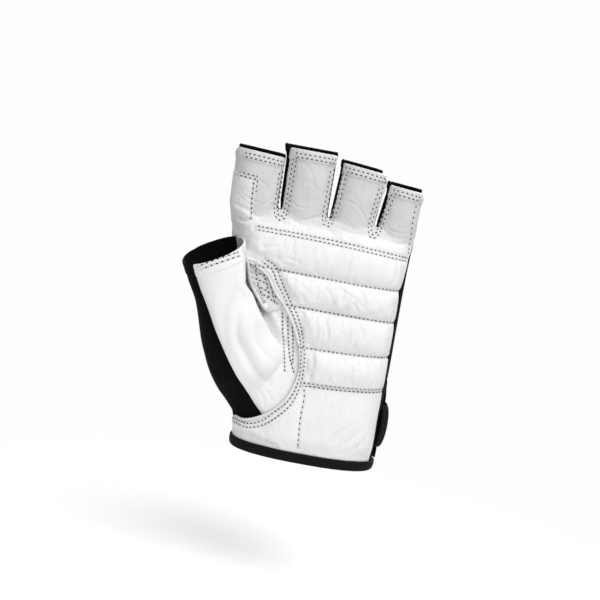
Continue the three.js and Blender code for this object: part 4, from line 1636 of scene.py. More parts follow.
@dataclass(frozen=True)
class Swelling:
    """A sheet blown out between its seams by a cloth simulation."""

    pressure: float = 4.0
    slack: float = 0.045
    cap: float = 0.0015
    frames: int = 20
    enlarged: float = 10.0

    def moves(self, skin: Skin, sewn: Array) -> Array:
        """How far each point of a sheet moves.

        Args:
            skin: The sheet.
            sewn: Which points the seams hold.

        Returns:
            The moves, none longer than the cap.
        """
        rest = skin.points()
        mesh = bpy.data.meshes.new("cloth")
        skin.bm.to_mesh(mesh)
        mesh.transform(Matrix.Scale(self.enlarged, 4))
        cloth = linked("cloth", mesh)
        held = cloth.vertex_groups.new(name="sewn")
        held.add([int(place) for place in np.flatnonzero(sewn)], 1.0, "REPLACE")
        settings = cloth.modifiers.new("swelling", "CLOTH").settings
        settings.vertex_group_mass = held.name
        settings.use_pressure = True
        settings.uniform_pressure_force = self.pressure
        settings.shrink_min = -self.slack
        settings.effector_weights.gravity = 0.0
        scene = bpy.context.scene
        for number in range(1, self.frames + 1):
            scene.frame_set(number)
        swollen = evaluated(cloth)
        moved = np.array([vert.co[:] for vert in swollen.vertices]) / self.enlarged - rest
        bpy.data.objects.remove(cloth)
        scene.frame_set(1)
        size = np.linalg.norm(moved, axis=1)[:, None]
        return moved * np.minimum(1.0, self.cap / np.maximum(size, 1e-9))


# The pieces.


@dataclass(frozen=True)
class Cut:
    """The flat piece that a sheet was cut from: its width, length and area."""

    width: float
    length: float
    area: float
    held: str = "stretched"


def hand_over(
    piece: Thing, node: str = "", body: Body | None = Body.GLOVE
) -> None:
    """Tells the frame what a finished piece is.

    Args:
        piece: The finished object.
        node: The solid that it stands in for.
        body: The body that it rides on, or None where it bends between two bodies.
    """
    if body:
        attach(piece, body.value)
    if node:
        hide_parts(node)
    LOG.info("%s: %d points", piece.name, len(piece.data.vertices))


@dataclass(frozen=True)
class Ridge:
    """A low round ridge beside an edge: its height, its distance from the edge and its width."""

    height: float
    place: float
    width: float

    def over(self, distance: Array) -> Array:
        """Its rise at distances from the edge."""
        return self.height * hump(distance - self.place, self.width)


@dataclass(frozen=True)
class Hem:
    """A turned edge: a second layer that ends between two distances, and a rolled-in brim."""

    rise: float
    layer: Span
    roll: float
    brim: float

    def over(self, distance: Array) -> Array:
        """Its rise at distances from the edge."""
        layer = self.rise * (1 - soft_step(*self.layer, distance))
        return layer - self.roll * rolled(distance, self.brim)


@dataclass
class Palm:
    """The leather of the palm, its foam and its lining."""

    form: HandForm
    pattern: Pattern
    finishes: Finishes
    leather: float = 0.0012
    lining: float = 0.0008
    cover_rise: float = 0.0014
    cover_low: Span = (0.0052, 0.012)
    cover_high: Span = (0.1105, 0.1152)
    cover_side: Span = (0.0, 0.0047)
    cover_steepness: float = 6.0
    pad_rise: float = 0.0032
    pad_crown: Span = (2.6, 0.55)
    pad_end_shares: Span = (0.27, 0.365)
    pad_from_hole: Span = (0.0035, 0.0095)
    pad_from_index: Span = (-0.0475, -0.039)
    pad_voxel: float = 0.0008
    pad_gap: float = 0.00012
    sewn_edge: float = 0.0015
    sewn_row: float = 0.0008
    flatter_above: Span = (0.088, 0.096)
    hem: Span = (0.005, 0.0059)
    hem_rise: float = 0.0005
    brim: Span = (0.0006, 0.0007)
    finger_roots: Span = (0.116, 0.122)
    finger_side: Span = (0.0002, 0.0022)
    finger_drop: float = 0.0004
    finger_ridge: Ridge = Ridge(0.0003, 0.0032, 0.0012)
    back_seam: Span = (0.0, 0.008)
    hole_reach: Span = (0.0119, 0.012)
    welt_rise: float = 0.0011
    welt_end: Span = (0.0045, 0.0075)
    welt_ridges: tuple[Ridge, Ridge] = (Ridge(0.00045, 0.0008, 0.0007), Ridge(0.0003, 0.0027, 0.0008))
    welt_fold: Ridge = Ridge(1.0, 0.0016, 0.00035)
    low_edge: float = 0.0018
    # Painted shade on the finger stalls, which lean away from the light: how strong it is, and the heights
    # over which it comes in.
    finger_painted_shade: float = 0.33
    finger_shade_roots: Span = (0.1145, 0.119)
    # How strong the painted shade in the stitched grooves of the palm is.
    groove: float = 0.28
    lining_box: tuple[float, ...] = (-0.0463, 0.0306, 0.0112, 0.1134, -0.002)

    @staticmethod
    def line_heights(row: Row, x: Array) -> Array:
        """How high a row runs at places across the palm."""
        places, heights = np.asarray(row.points).T * MM
        return np.interp(x, places, heights)

    def pad_share(self, points: Array) -> Array:
        """The foam's share of its full rise: 1 along the middle of a channel.

        Args:
            points: The points, n by 3.

        Returns:
            One share a point.
        """
        x, _, z = points.T
        heights = [self.line_heights(row, x) for row in reversed(Seams.quilting)]
        share = np.zeros(len(points))
        wide, steep = self.pad_crown
        for low, high in zip(heights[:-1], heights[1:]):
            middle = (2 * (z - low)) / (high - low) - 1
            share = np.maximum(share, np.maximum(0.0, 1 - np.abs(middle) ** wide) ** steep)
        near, far = (end * self.form.breadth for end in self.pad_end_shares)
        side = 1 - soft_step(near, far, x)
        web = soft_step(*self.pad_from_hole, -self.pattern.hole(points))
        web = web * soft_step(*self.pad_from_index, x)
        return share * side * web * (points[:, 1] < 0.0)

    def cover_share(self, points: Array) -> Array:
        """The share of the lining's cover, which fades out at the edges of the palm.

        Args:
            points: The points, n by 3.

        Returns:
            One share a point.
        """
        x, y, z = points.T
        radial, ulnar, _, _ = self.form.half_sizes(np.clip(z, 0.0, self.form.crotch)).T
        inward = (1 - np.abs(x) / np.where(x > 0, ulnar, radial)) * self.cover_steepness
        fade = soft_step(*self.cover_low, z) * (1 - soft_step(*self.cover_high, z))
        return fade * np.clip(inward, 0.0, 1.0) * soft_step(*self.cover_side, -y)

    def zone(self, points: Array) -> Array:
        """Positive on the palm leather."""
        pattern = self.pattern
        return np.minimum.reduce([
            pattern.palm_side(points), -pattern.walls(points), -pattern.hole(points),
            -pattern.on_thumb(points), pattern.tops(points, 0.0), points[:, 2] - self.low_edge,
        ])

    def leather_skin(self, blank: Skin) -> Skin:
        """The leather of the whole palm in one piece, shaped by foam, hems and seams.

        Args:
            blank: The hand form's surface.

        Returns:
            The outer surface of the leather.
        """
        skin = blank.cut(self.zone)
        points = skin.points()
        pad = self.pad_share(points)
        skin.push(self.leather + self.cover_rise * self.cover_share(points) + self.pad_rise * pad)
        skin.move(skin.points() + self._swelling(skin, points, pad))
        refined = skin.refined()
        self._hems(refined)
        self._wrinkles(refined, self.pad_share(refined.points()))
        NEEDLE.sew(refined, Seams.palm, self.groove)
        creased(refined, CREASES)
        return refined

    def _swelling(self, skin: Skin, points: Array, pad: Array) -> Array:
        """How the leather swells and wrinkles between its rows of stitches.

        Args:
            skin: The leather over its foam.
            points: The same points on the hand form.
            pad: The foam's share at each point.

        Returns:
            The move of each point.
        """
        sewn = skin.rim_distance(0.002) < self.sewn_edge
        for row in (*Seams.quilting, *Seams.hole):
            for line in row.lines():
                near = near_front(points, line, 0.002)
                gap, _, _ = distance_to_line(line, points[near][:, [0, 2]])
                sewn[near] |= gap < self.sewn_row
        share = 0.15 + 0.85 * soft_step(0.0, 0.5, pad)
        share *= 1 - 0.5 * soft_step(*self.flatter_above, points[:, 2])
        return Swelling().moves(skin, sewn) * share[:, None]

    def _hole_rim(self, points: Array) -> Array:
        """Positive where an edge belongs to the thumb hole."""
        return self.pattern.hole(points) + 0.002

    def _hems(self, skin: Skin) -> None:
        """Doubles the leather at its turned edges and rounds them, and paints shade in the welt's fold,
        along the edges and over the finger stalls.

        Args:
            skin: The leather.
        """
        points = skin.points()
        z = points[:, 2]
        hole = skin.rim_distance(self.hole_reach[1], self._hole_rim)
        at_hole = hole < self.hole_reach[0]
        rim = skin.rim_distance(0.006)
        turned = self.hem_rise * (1 - soft_step(*self.hem, self.pattern.tops(points, 0.0)))
        side = self.finger_ridge.over(rim) - self.finger_drop * (1 - soft_step(*self.finger_side, rim))
        side *= soft_step(*self.finger_roots, z)
        inner = soft_step(*self.back_seam, self.pattern.palm_side(points))
        welt = self.welt_rise * (1 - soft_step(*self.welt_end, hole)) * inner
        fold = self.welt_fold.over(hole) * inner
        first, second = self.welt_ridges
        ridges = (first.over(hole) + second.over(hole)) * inner - 0.0004 * fold
        roll, brim = self.brim
        skin.push(turned + side + welt + ridges * at_hole - roll * rolled(rim, brim))
        # Painted shade over the finger stalls, above their roots.
        stall_shade = self.finger_painted_shade * soft_step(*self.finger_shade_roots, z)
        # Painted shade in the welt's fold at the thumb hole and along every edge, together with the stalls'
        # painted shade.
        skin.paint_shade(np.maximum.reduce([0.45 * fold * at_hole, 0.35 * hump(rim, 0.0004), stall_shade]))

    def _wrinkles(self, skin: Skin, pad: Array) -> None:
        """Soft folds across the channels, in the finger leather and over the heel.

        Args:
            skin: The leather.
            pad: The foam's share at each point.
        """
        points = skin.points()
        z = points[:, 2]
        fingers = soft_step(0.114, 0.12, z) * self.pattern.tops(points, 0.0) / 0.03
        upright = waves(points * (1.0, 0.4, 0.22), 0.0048, 21) * pad
        crossed = waves(points * (0.7, 1.0, 1.0), 0.009, 22) * np.clip(fingers, 0.0, 0.6)
        heel = waves(points * (0.8, 1.0, 0.8), 0.011, 23) * (1 - soft_step(0.036, 0.042, z))
        skin.push(0.00013 * upright + 0.00022 * crossed + 0.00012 * heel)

    def line_zone(self, low: Row | None, high: Row | None) -> Zone:
        """A zone between two quilted lines.

        Args:
            low: The lower line, if the zone ends at one.
            high: The upper line, if the zone ends at one.

        Returns:
            The zone.
        """
        def zone(points: Array) -> Array:
            """Positive between the lines."""
            x, _, z = points.T
            ends = [sign * (z - self.line_heights(row, x)) for row, sign in ((low, 1), (high, -1)) if row]
            return np.min(ends, axis=0)
        return zone

    def dress(self, blank: Skin) -> Skin:
        """Makes the leather, the foam and the lining.

        Args:
            blank: The hand form's surface.

        Returns:
            The leather's outer surface.
        """
        skin = self.leather_skin(blank)
        bottom, top = Seams.quilting[-1], Seams.quilting[0]
        for name, high, low, cut in (
            ("palm_leather_fingers", None, top, Cut(0.112, 0.05, 0.0049)),
            ("palm_leather_padded", top, bottom, Cut(0.088, 0.078, 0.0051)),
            ("palm_leather_heel", bottom, None, Cut(0.082, 0.044, 0.0026)),
        ):
            part = skin.cut(self.line_zone(low, high), snap=0.45)
            piece = part.piece(f"{name}_piece", self.leather, self.finishes.leather, self.finishes.suede)
            hand_over(piece, name)
        self._foam()
        self._lining(blank)
        return skin

    def _foam(self) -> None:
        """Soft pads in the shape of their channels."""
        for number in range(1, len(Seams.quilting)):
            name = f"foam_pad_{number}"
            settings = {"mode": "VOXEL", "voxel_size": self.pad_voxel}
            skin = Skin.of(with_modifier(merged(name), "REMESH", settings)).smooth(3)
            skin.push(np.full(len(skin.bm.verts), -self.pad_gap))
            pad = linked(f"{name}_soft", as_mesh(f"{name}_soft", skin.bm, self.finishes.foam))
            hand_over(pad, name)

    def lining_zone(self, points: Array) -> Array:
        """Positive where the lining lies."""
        x, y, z = points.T
        left, right, low, high, behind = self.lining_box
        return np.minimum.reduce([
            x - left, right - x, z - low, high - z, behind - y,
            -self.pattern.hole(points) - 0.0006, -self.pattern.on_thumb(points),
        ])

    def _lining(self, blank: Skin) -> None:
        """The cloth behind the foam, made from the hand form's surface."""
        skin = blank.cut(self.lining_zone)
        skin.push(self.lining * self.cover_share(skin.points()) + 0.00002)
        piece = skin.piece("palm_lining_cloth", 0.0007, self.finishes.lining, self.finishes.lining)
        hand_over(piece, "palm_lining")


def merged(name: str) -> Mesh:
    """A copy of a solid's mesh with its corners joined."""
    bm = bmesh.new()
    bm.from_mesh(bpy.data.objects[name].data)
    bmesh.ops.remove_doubles(bm, verts=bm.verts, dist=JOINED)
    return as_mesh(f"{name}_copy", bm)


@dataclass
class Thumb:
    """The leather and fabric of the thumb, and the patch and knot in its web."""

    form: HandForm
    pattern: Pattern
    finishes: Finishes
    leather: float = 0.0012
    underlap: float = 0.0035
    low_edge: float = 0.0018
    hem: Hem = Hem(0.0004, (0.0056, 0.0064), 0.0005, 0.0007)
    drawn: Ridge = Ridge(0.0005, 0.0, 0.0012)
    folds: float = 0.00015
    # How strong the painted shade in the stitched grooves of the thumb and the web patch is.
    groove: float = 0.35
    creases_end: Span = (0.0, 0.005)
    patch: float = 0.0011
    patch_underlap: float = 0.0012
    patch_brim: tuple[float, float, float] = (0.0009, 0.0018, 1.5)
    web_depth: float = 0.0175
    knot: float = 0.0019
    knot_place: Span = (-0.0328, 0.0727)
    knot_balls: tuple[Triple, Triple] = ((1.0, 0.7, 0.0), (0.55, 0.5, 0.45))

    def cover(self, points: Array) -> Array:
        """Positive on the thumb and just under the palm leather round it."""
        pattern = self.pattern
        zone = np.maximum(pattern.on_thumb(points), pattern.hole(points) + self.underlap)
        return np.minimum.reduce([zone, pattern.thumb_top(points), points[:, 2] - self.low_edge])

    def front(self, points: Array) -> Array:
        """Positive on the leather side of the thumb."""
        return -self.pattern.thumb_behind(points)

    def web(self, points: Array) -> Array:
        """Positive on the patch in the web, but not up the thumb's own side."""
        hole = self.pattern.hole(points) + self.patch_underlap
        return np.minimum.reduce([self.pattern.web_patch(points), hole, points[:, 1] + self.web_depth])

    def dress(self, blank: Skin) -> Skin:
        """Makes all four pieces.

        Args:
            blank: The hand form's surface.

        Returns:
            The leather's outer surface, patch included.
        """
        finishes = self.finishes
        cover = blank.cut(self.cover)
        front = cover.cut(self.front).refined()
        free = soft_step(*self.creases_end, self.front(front.points()))[:, None]
        self._shape(front)
        NEEDLE.sew(front, Seams.thumb, self.groove)
        flat = front.points()
        creased(front, THUMB_CREASES)
        front.move(flat + (front.points() - flat) * free)
        # The smooth leather, painted lighter as painted light.
        piece = front.piece("thumb_leather_piece", self.leather, finishes.smooth, finishes.suede)
        hand_over(piece, "thumb_leather")
        back = cover.cut(self.pattern.thumb_behind)
        self._shape(back)
        piece = back.piece("thumb_back_piece", self.leather, finishes.fabric, finishes.fabric)
        hand_over(piece, "thumb_back")
        return self._web(blank, front)

    def _shape(self, skin: Skin) -> None:
        """Puts a sheet of the thumb on its layer and draws its seam in.

        Args:
            skin: The sheet.
        """
        points = skin.points()
        top = self.pattern.thumb_top(points)
        seam, _, _ = distance_to_line(self.pattern.thumb_seam(), points[:, [0, 2]])
        drawn = self.drawn.over(seam) * (points[:, 1] < 0.0)
        folds = waves(points * (1.0, 1.0, 0.35), 0.011, 5) * soft_step(0.001, 0.006, top)
        skin.push(self.leather + self.hem.over(top) - drawn + self.folds * folds)

    def _web(self, blank: Skin, front: Skin) -> Skin:
        """The sewn patch in the web of the thumb and the knot at its foot.

        Args:
            blank: The hand form's surface.
            front: The thumb leather's outer surface.

        Returns:
            The outer surface of both.
        """
        patch = blank.cut(self.web).refined()
        roll, brim, power = self.patch_brim
        patch.push(self.leather + self.patch - roll * rolled(patch.rim_distance(0.003), brim, power))
        NEEDLE.sew(patch, Seams.web_patch, self.groove)
        finishes = self.finishes
        # The patch's leather is painted darker as painted shade.
        piece = patch.piece("web_patch_piece", self.patch - 0.0001, finishes.painted_shade, finishes.suede)
        hand_over(piece, "web_patch")
        joined = front.bm.copy()
        joined.from_mesh(as_mesh("patch", patch.bm))
        whole = Skin(joined)
        self._knot(whole)
        return whole

    def _knot(self, skin: Skin) -> None:
        """A small round knot, sewn on in the web.

        Args:
            skin: The surface that it lies on.
        """
        x, z = self.knot_place
        hit, normal, _, _ = skin.tree().ray_cast(Vector((x, -FAR, z)), AHEAD)
        turn = normal.to_track_quat("Z", "Y").to_matrix().to_4x4()
        place = Matrix.Translation(hit + normal * (0.3 * self.knot)) @ turn
        bm = bmesh.new()
        for wide, high, low in self.knot_balls:
            size = Matrix.Diagonal((wide * self.knot, wide * self.knot, high * self.knot, 1.0))
            matrix = place @ Matrix.Translation((0.0, 0.0, low * self.knot)) @ size
            bmesh.ops.create_uvsphere(bm, u_segments=40, v_segments=20, radius=1.0, matrix=matrix)
        bmesh.ops.recalc_face_normals(bm, faces=bm.faces)
        mesh = as_mesh("web_knot_round", bm, self.finishes.leather)
        hand_over(linked("web_knot_round", mesh), "web_knot")


@dataclass
class Back:
    """The black fabric of the back, the walls between the fingers, and the index patch."""

    form: HandForm
    pattern: Pattern
    finishes: Finishes
    fabric: float = 0.0012
    rise: float = 0.0018
    low_edge: float = 0.0018
    slit_edge: float = 0.0018
    hem: Hem = Hem(0.0004, (0.0035, 0.0042), 0.0004, 0.0008)
    folds: float = 0.0002
    walls: tuple[str, ...] = ("index_middle_wall", "middle_ring_wall", "ring_little_wall")
    flares: Triple = (0.0026, 0.0008, 0.0016)
    flare_rise: Pairs = ((0.0, 0.0), (0.2, 0.4), (0.84, 0.45), (1.05, 1.0))
    patch: float = 0.0005
    patch_brim: Span = (0.0004, 0.0008)

    def panel(self, points: Array) -> Array:
        """Positive on the back."""
        pattern = self.pattern
        return np.minimum.reduce([
            -pattern.palm_side(points), -pattern.walls(points), -pattern.hole(points),
            -pattern.on_thumb(points), pattern.tops(points, self.rise),
            -pattern.slit(points) - self.slit_edge, points[:, 2] - self.low_edge,
        ])

    def wall(self, number: int) -> Zone:
        """The zone of one wall."""
        def zone(points: Array) -> Array:
            """Positive on the wall."""
            return np.minimum(self.pattern.walls(points, number), self.pattern.tops(points, self.rise))
        return zone

    def side(self, points: Array) -> Array:
        """Positive on the patch, which ends at the palm leather's seam."""
        return np.minimum(self.pattern.side_patch(points), self.pattern.palm_side(points) - 0.0002)

    def dress(self, blank: Skin) -> Skin:
        """Makes all pieces."""
        self._sheet(blank.cut(self.panel), "back_panel")
        for number, name in enumerate(self.walls):
            self._sheet(blank.cut(self.wall(number)), name)
        return self._side_patch(blank)

    def _sheet(self, skin: Skin, node: str) -> None:
        """One piece of black fabric.

        Args:
            skin: The part of the hand form that it covers.
            node: The solid that it stands in for.
        """
        points = skin.points()
        folds = waves(points * (1.0, 1.0, 0.5), 0.016, 11) * self.folds
        hem = self.hem.over(self.pattern.tops(points, self.rise))
        skin.push(self.fabric + hem + folds * soft_step(0.002, 0.01, skin.rim_distance(0.01)))
        skin.move(skin.points() - self._flare(points)[:, None] * (1.0, 0.0, 0.0))
        piece = skin.piece(f"{node}_piece", self.fabric, self.finishes.fabric, self.finishes.fabric)
        hand_over(piece, node)

    def _flare(self, points: Array) -> Array:
        """How far the fabric stands out on the index side of the other fingers' stalls.

        Args:
            points: The points, n by 3.

        Returns:
            One distance a point.
        """
        x, y, z = points.T
        form = self.form
        shift = np.zeros(len(x))
        behind = soft_step(-self.pattern.wall_half, 0.0, y - form.stall_depth(z))
        for stall, middle, out in zip(form.stalls[1:], form.middles[1:], self.flares):
            share = np.clip((middle - x) / (stall.width / 2), 0.0, 1.0) * (x > middle - 0.8 * stall.width)
            rise = np.interp((z - form.crotch) / stall.length, *np.transpose(self.flare_rise))
            shift += share * behind * out * rise
        return shift

    def _side_patch(self, blank: Skin) -> Skin:
        """The leather patch sewn on the outer side of the index finger.

        Args:
            blank: The hand form's surface.

        Returns:
            The patch's outer surface.
        """
        skin = blank.cut(self.side).refined()
        roll, brim = self.patch_brim
        skin.push(self.fabric + self.patch - roll * rolled(skin.rim_distance(0.003), brim))
        # 0.5 is how strong the painted shade in the patch's stitched grooves is.
        NEEDLE.sew(skin, Seams.side_patch, 0.5)
        creased(skin, CREASES)
        piece = skin.piece("index_side_patch_piece", 0.0004, self.finishes.leather, self.finishes.suede)
        hand_over(piece, "index_side_patch")
        return skin


@dataclass
class Cuff:
    """The tapes that bind the cuff's hem and the slit in it."""

    form: HandForm
    pattern: Pattern
    finishes: Finishes
    tape: float = 0.0008
    out: float = 0.0023
    inside: float = -0.0011
    brim: float = 0.0004
    puff: float = 0.0002
    fold: float = -0.0013
    height: float = 0.0055
    steps: int = 260
    slit_width: float = 0.004
    slit_gap: float = 0.0003
    slit_tip: float = 0.0004
    slit_steps: int = 60
    tip_flatter: float = 0.3
    tip_begin: float = 0.034

    def profile(self, width: float) -> Array:
        """The tape's folded section.

        Args:
            width: How far it reaches over the sheet.

        Returns:
            For each point how far in from the edge it lies, and how far out.
        """
        bend = np.linspace(0.0, math.pi, 9)[1:-1]
        middle, radius = (self.out + self.inside) / 2, (self.out - self.inside) / 2
        legs = np.linspace(width, radius, 5)
        curve = np.stack([radius - radius * np.sin(bend), middle + radius * np.cos(bend)], axis=1)
        outer = np.stack([legs, np.full(5, self.out)], axis=1)
        outer[0, 1] -= self.brim
        outer[1:4, 1] += self.puff
        inner = np.stack([legs[::-1], np.full(5, self.inside)], axis=1)
        return np.vstack([outer, curve, inner])

    def bind(self, node: str, edge: tuple[Array, Array, Array], width: float) -> None:
        """Folds a tape over an edge.

        Args:
            node: The solid that it stands in for.
            edge: The edge's points on the hand form, the outward directions there, and the
                directions from the edge into the sheet.
            width: How far the tape reaches over the sheet.
        """
        path, normals, inward = edge
        section = self.profile(width)
        count, rows = len(path) - 1, len(section) - 1
        bm, flat = grid(count, rows)
        along, across = np.rint(flat * (count, rows)).astype(int).T
        places = (
            path[along] + inward[along] * section[across, :1] + normals[along] * section[across, 1:]
        )
        for vert, place in zip(bm.verts, places):
            vert.co = place
        skin = Skin(bm).facing(normals[along] * (across < 4)[:, None])
        piece = skin.piece(f"{node}_tape", self.tape, self.finishes.tape, self.finishes.tape)
        hand_over(piece, node)

    def dress(self) -> None:
        """Makes both tapes."""
        self.bind("cuff_binding", self._hem_edge(), self.height)
        self.bind("slit_binding", self._slit_edge(), self.slit_width)

    def _hem_edge(self) -> tuple[Array, Array, Array]:
        """The cuff's edge, from one side of the slit round to the other, as bind takes it."""
        start, end = self._slit_angles()
        turns = np.linspace(end, start + 2 * math.pi, self.steps)
        level = np.full(len(turns), self.fold)
        path = self.form.palm_points(turns, level)
        normals = unit((self.form.palm_points(turns, level, 0.001) - path) * (1.0, 1.0, 0.0))
        return path, normals, np.tile([0.0, 0.0, 1.0], (len(path), 1))

    def _slit_angles(self) -> list[float]:
        """The angles round the wrist where the slit's mouth begins and ends.

        Returns:
            The two angles.
        """
        found = []
        for side in (-1, 1):
            y = self.pattern.slit_behind + side * self.pattern.slit_mouth / 2
            depth = self.form.wrist[3] if y > 0 else self.form.wrist[2]
            sine = abs(y / depth) ** (self.form.squareness / 2)
            found.append(math.copysign(math.asin(sine), y))
        return found

    def _side(self, y: Array, z: Array) -> Array:
        """Points of the form's side on the little finger's side."""
        _, ulnar, front, back = self.form.half_sizes(z).T
        share = np.abs(y) / np.where(y > 0, back, front)
        power = self.form.squareness
        return np.stack([ulnar * (1 - share**power) ** (1 / power), y, z], axis=1)

    def _slit_edge(self) -> tuple[Array, Array, Array]:
        """The slit's edge: up its front leg, round its tip and down its back leg.

        Returns:
            The edge as bind takes it.
        """
        pattern = self.pattern
        low, tip, blunt = self.fold + self.height + self.slit_gap, pattern.slit_height, self.slit_tip
        rise = np.linspace(low, tip, self.slit_steps)
        half = np.interp(rise, [0.0, tip], [pattern.slit_mouth / 2, blunt])
        bend = np.linspace(0.0, math.pi, 13)[1:-1]
        y = np.concatenate([-half, -blunt * np.cos(bend), half[::-1]]) + pattern.slit_behind
        z = np.concatenate([rise, tip + blunt * np.sin(bend), rise[::-1]])
        way = unit(np.gradient(np.stack([y, z], axis=1), axis=0))
        step = 0.0005
        slope = (self._side(y + step, z) - self._side(y - step, z)) / (2 * step)
        normals = unit(np.stack([slope[:, 1], -slope[:, 0], np.zeros(len(y))], axis=1))
        normals *= (1.0 - self.tip_flatter * soft_step(self.tip_begin, tip, z))[:, None]
        inward = unit(np.stack([slope[:, 0] * -way[:, 1], -way[:, 1], way[:, 0]], axis=1))
        return self._side(y, z), normals, inward


@dataclass(frozen=True)
class Band:
    """One band of the strap: its run round the wrist in degrees, its thickness and its shape."""

    turns: Span
    thickness: float
    puff: float = 0.0002
    margin: float = 0.0
    tip: bool = False


def steady(height: float) -> Callable[[Array], Array]:
    """A lift that is the same all along a band."""
    def lift(share: Array) -> Array:
        """The height at each share of the run."""
        return np.full(len(share), height)
    return lift


@dataclass
class Strap:
    """The wrist strap: elastic, closing tab, hook tape and loop tape."""

    form: HandForm
    finishes: Finishes
    middle: float = 0.022
    width: float = 0.022
    faces: tuple[int, int] = (70, 16)
    elastic: Band = Band((-16.0, 64.0), 0.0015, puff=0.0011)
    tab: Band = Band((64.4, 118.0), 0.0016, tip=True)
    hook: Band = Band((88.0, 117.0), 0.001, puff=0.0, margin=0.002, tip=True)
    loop: Band = Band((80.0, 122.0), 0.0009)
    tip_radius: float = 0.007
    gap: float = 0.0003
    over_tape: float = 0.0026
    bulge: float = 0.0006
    thin_share: float = 0.6
    round_share: float = 0.3
    seam_bend: tuple[Triple, Triple] = ((0.0361, -0.0102, 0.022), (0.0361, -0.0042, 0.022))
    tab_bend: tuple[Triple, Triple] = ((0.01995, 0.023, 0.022), (0.01605, 0.0239, 0.022))

    def make(self, name: str, band: Band, lift: Callable[[Array], Array], finish: Finish) -> Thing:
        """Makes a band round the wrist.

        Args:
            name: The piece's name.
            band: The band.
            lift: How far its inner face stands off the hand form along its run, from 0 to 1.
            finish: Its finish.

        Returns:
            The piece.
        """
        start, end = (math.radians(turn) for turn in band.turns)
        bm, flat = grid(*self.faces)
        along, across = flat[:, 0], 2 * flat[:, 1] - 1
        half = self.width / 2 - band.margin
        if band.tip:
            run = (1 - along) * abs(end - start) * self.form.wrist[1]
            short = self.tip_radius - band.margin
            inset = short - np.sqrt(np.maximum(0.0, short**2 - np.maximum(0.0, short - run) ** 2))
            half = half - inset
        full = 1.0 - self.thin_share * np.abs(across) ** 5
        puff = band.puff * (1.0 - across**2) * (1.0 - soft_step(0.6, 0.95, along))
        level = np.full(len(along), self.middle + self.width / 2)
        offset = lift(along) + puff + band.thickness * full
        places = self.form.palm_points(start + along * (end - start), level, offset)
        places[:, 2] = self.middle + across * half
        for vert, place in zip(bm.verts, places):
            vert.co = place
        skin = Skin(bm).facing(places * (1.0, 1.0, 0.0))
        piece = skin.piece(name, band.thickness, finish, finish)
        group = piece.vertex_groups.new(name="full")
        for number, weight in enumerate(full):
            group.add([number], float(weight), "REPLACE")
        piece.modifiers["thickness"].vertex_group = group.name
        round_edge = piece.modifiers.new("round_edge", "BEVEL")
        round_edge.width = band.thickness * self.round_share
        round_edge.segments = 2
        round_edge.limit_method = "ANGLE"
        return piece

    def dress(self) -> None:
        """Makes the four pieces, closed as in the photo."""
        loop_base = self.form.sheet + self.gap
        hook_base = loop_base + self.loop.thickness + self.gap
        tab_base = hook_base + self.hook.thickness + self.gap
        over_tape = self.over_tape + self.bulge

        def elastic_lift(share: Array) -> Array:
            """The elastic lies on the leather, then over the slit's tape, then joins the tab."""
            lift = loop_base + (over_tape - loop_base) * soft_step(0.0, 0.12, share)
            return lift + (tab_base - over_tape) * soft_step(0.55, 1.0, share)

        webbing, nap = self.finishes.webbing, self.finishes.nap
        elastic = self.make("strap_elastic_band", self.elastic, elastic_lift, webbing)
        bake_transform(elastic, Body.GLOVE.value, Body.SIDE.value, *map(Vector, self.seam_bend))
        hand_over(elastic, "strap_elastic", None)
        tab = self.make("strap_tab_band", self.tab, steady(tab_base), webbing)
        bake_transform(tab, Body.SIDE.value, Body.TAIL.value, *map(Vector, self.tab_bend))
        hand_over(tab, "strap_tab", None)
        hook = self.make("hook_tape_band", self.hook, steady(hook_base), nap)
        hand_over(hook, "hook_tape", Body.TAIL)
        loop = self.make("loop_patch_band", self.loop, steady(loop_base), nap)
        hand_over(loop, "loop_patch")


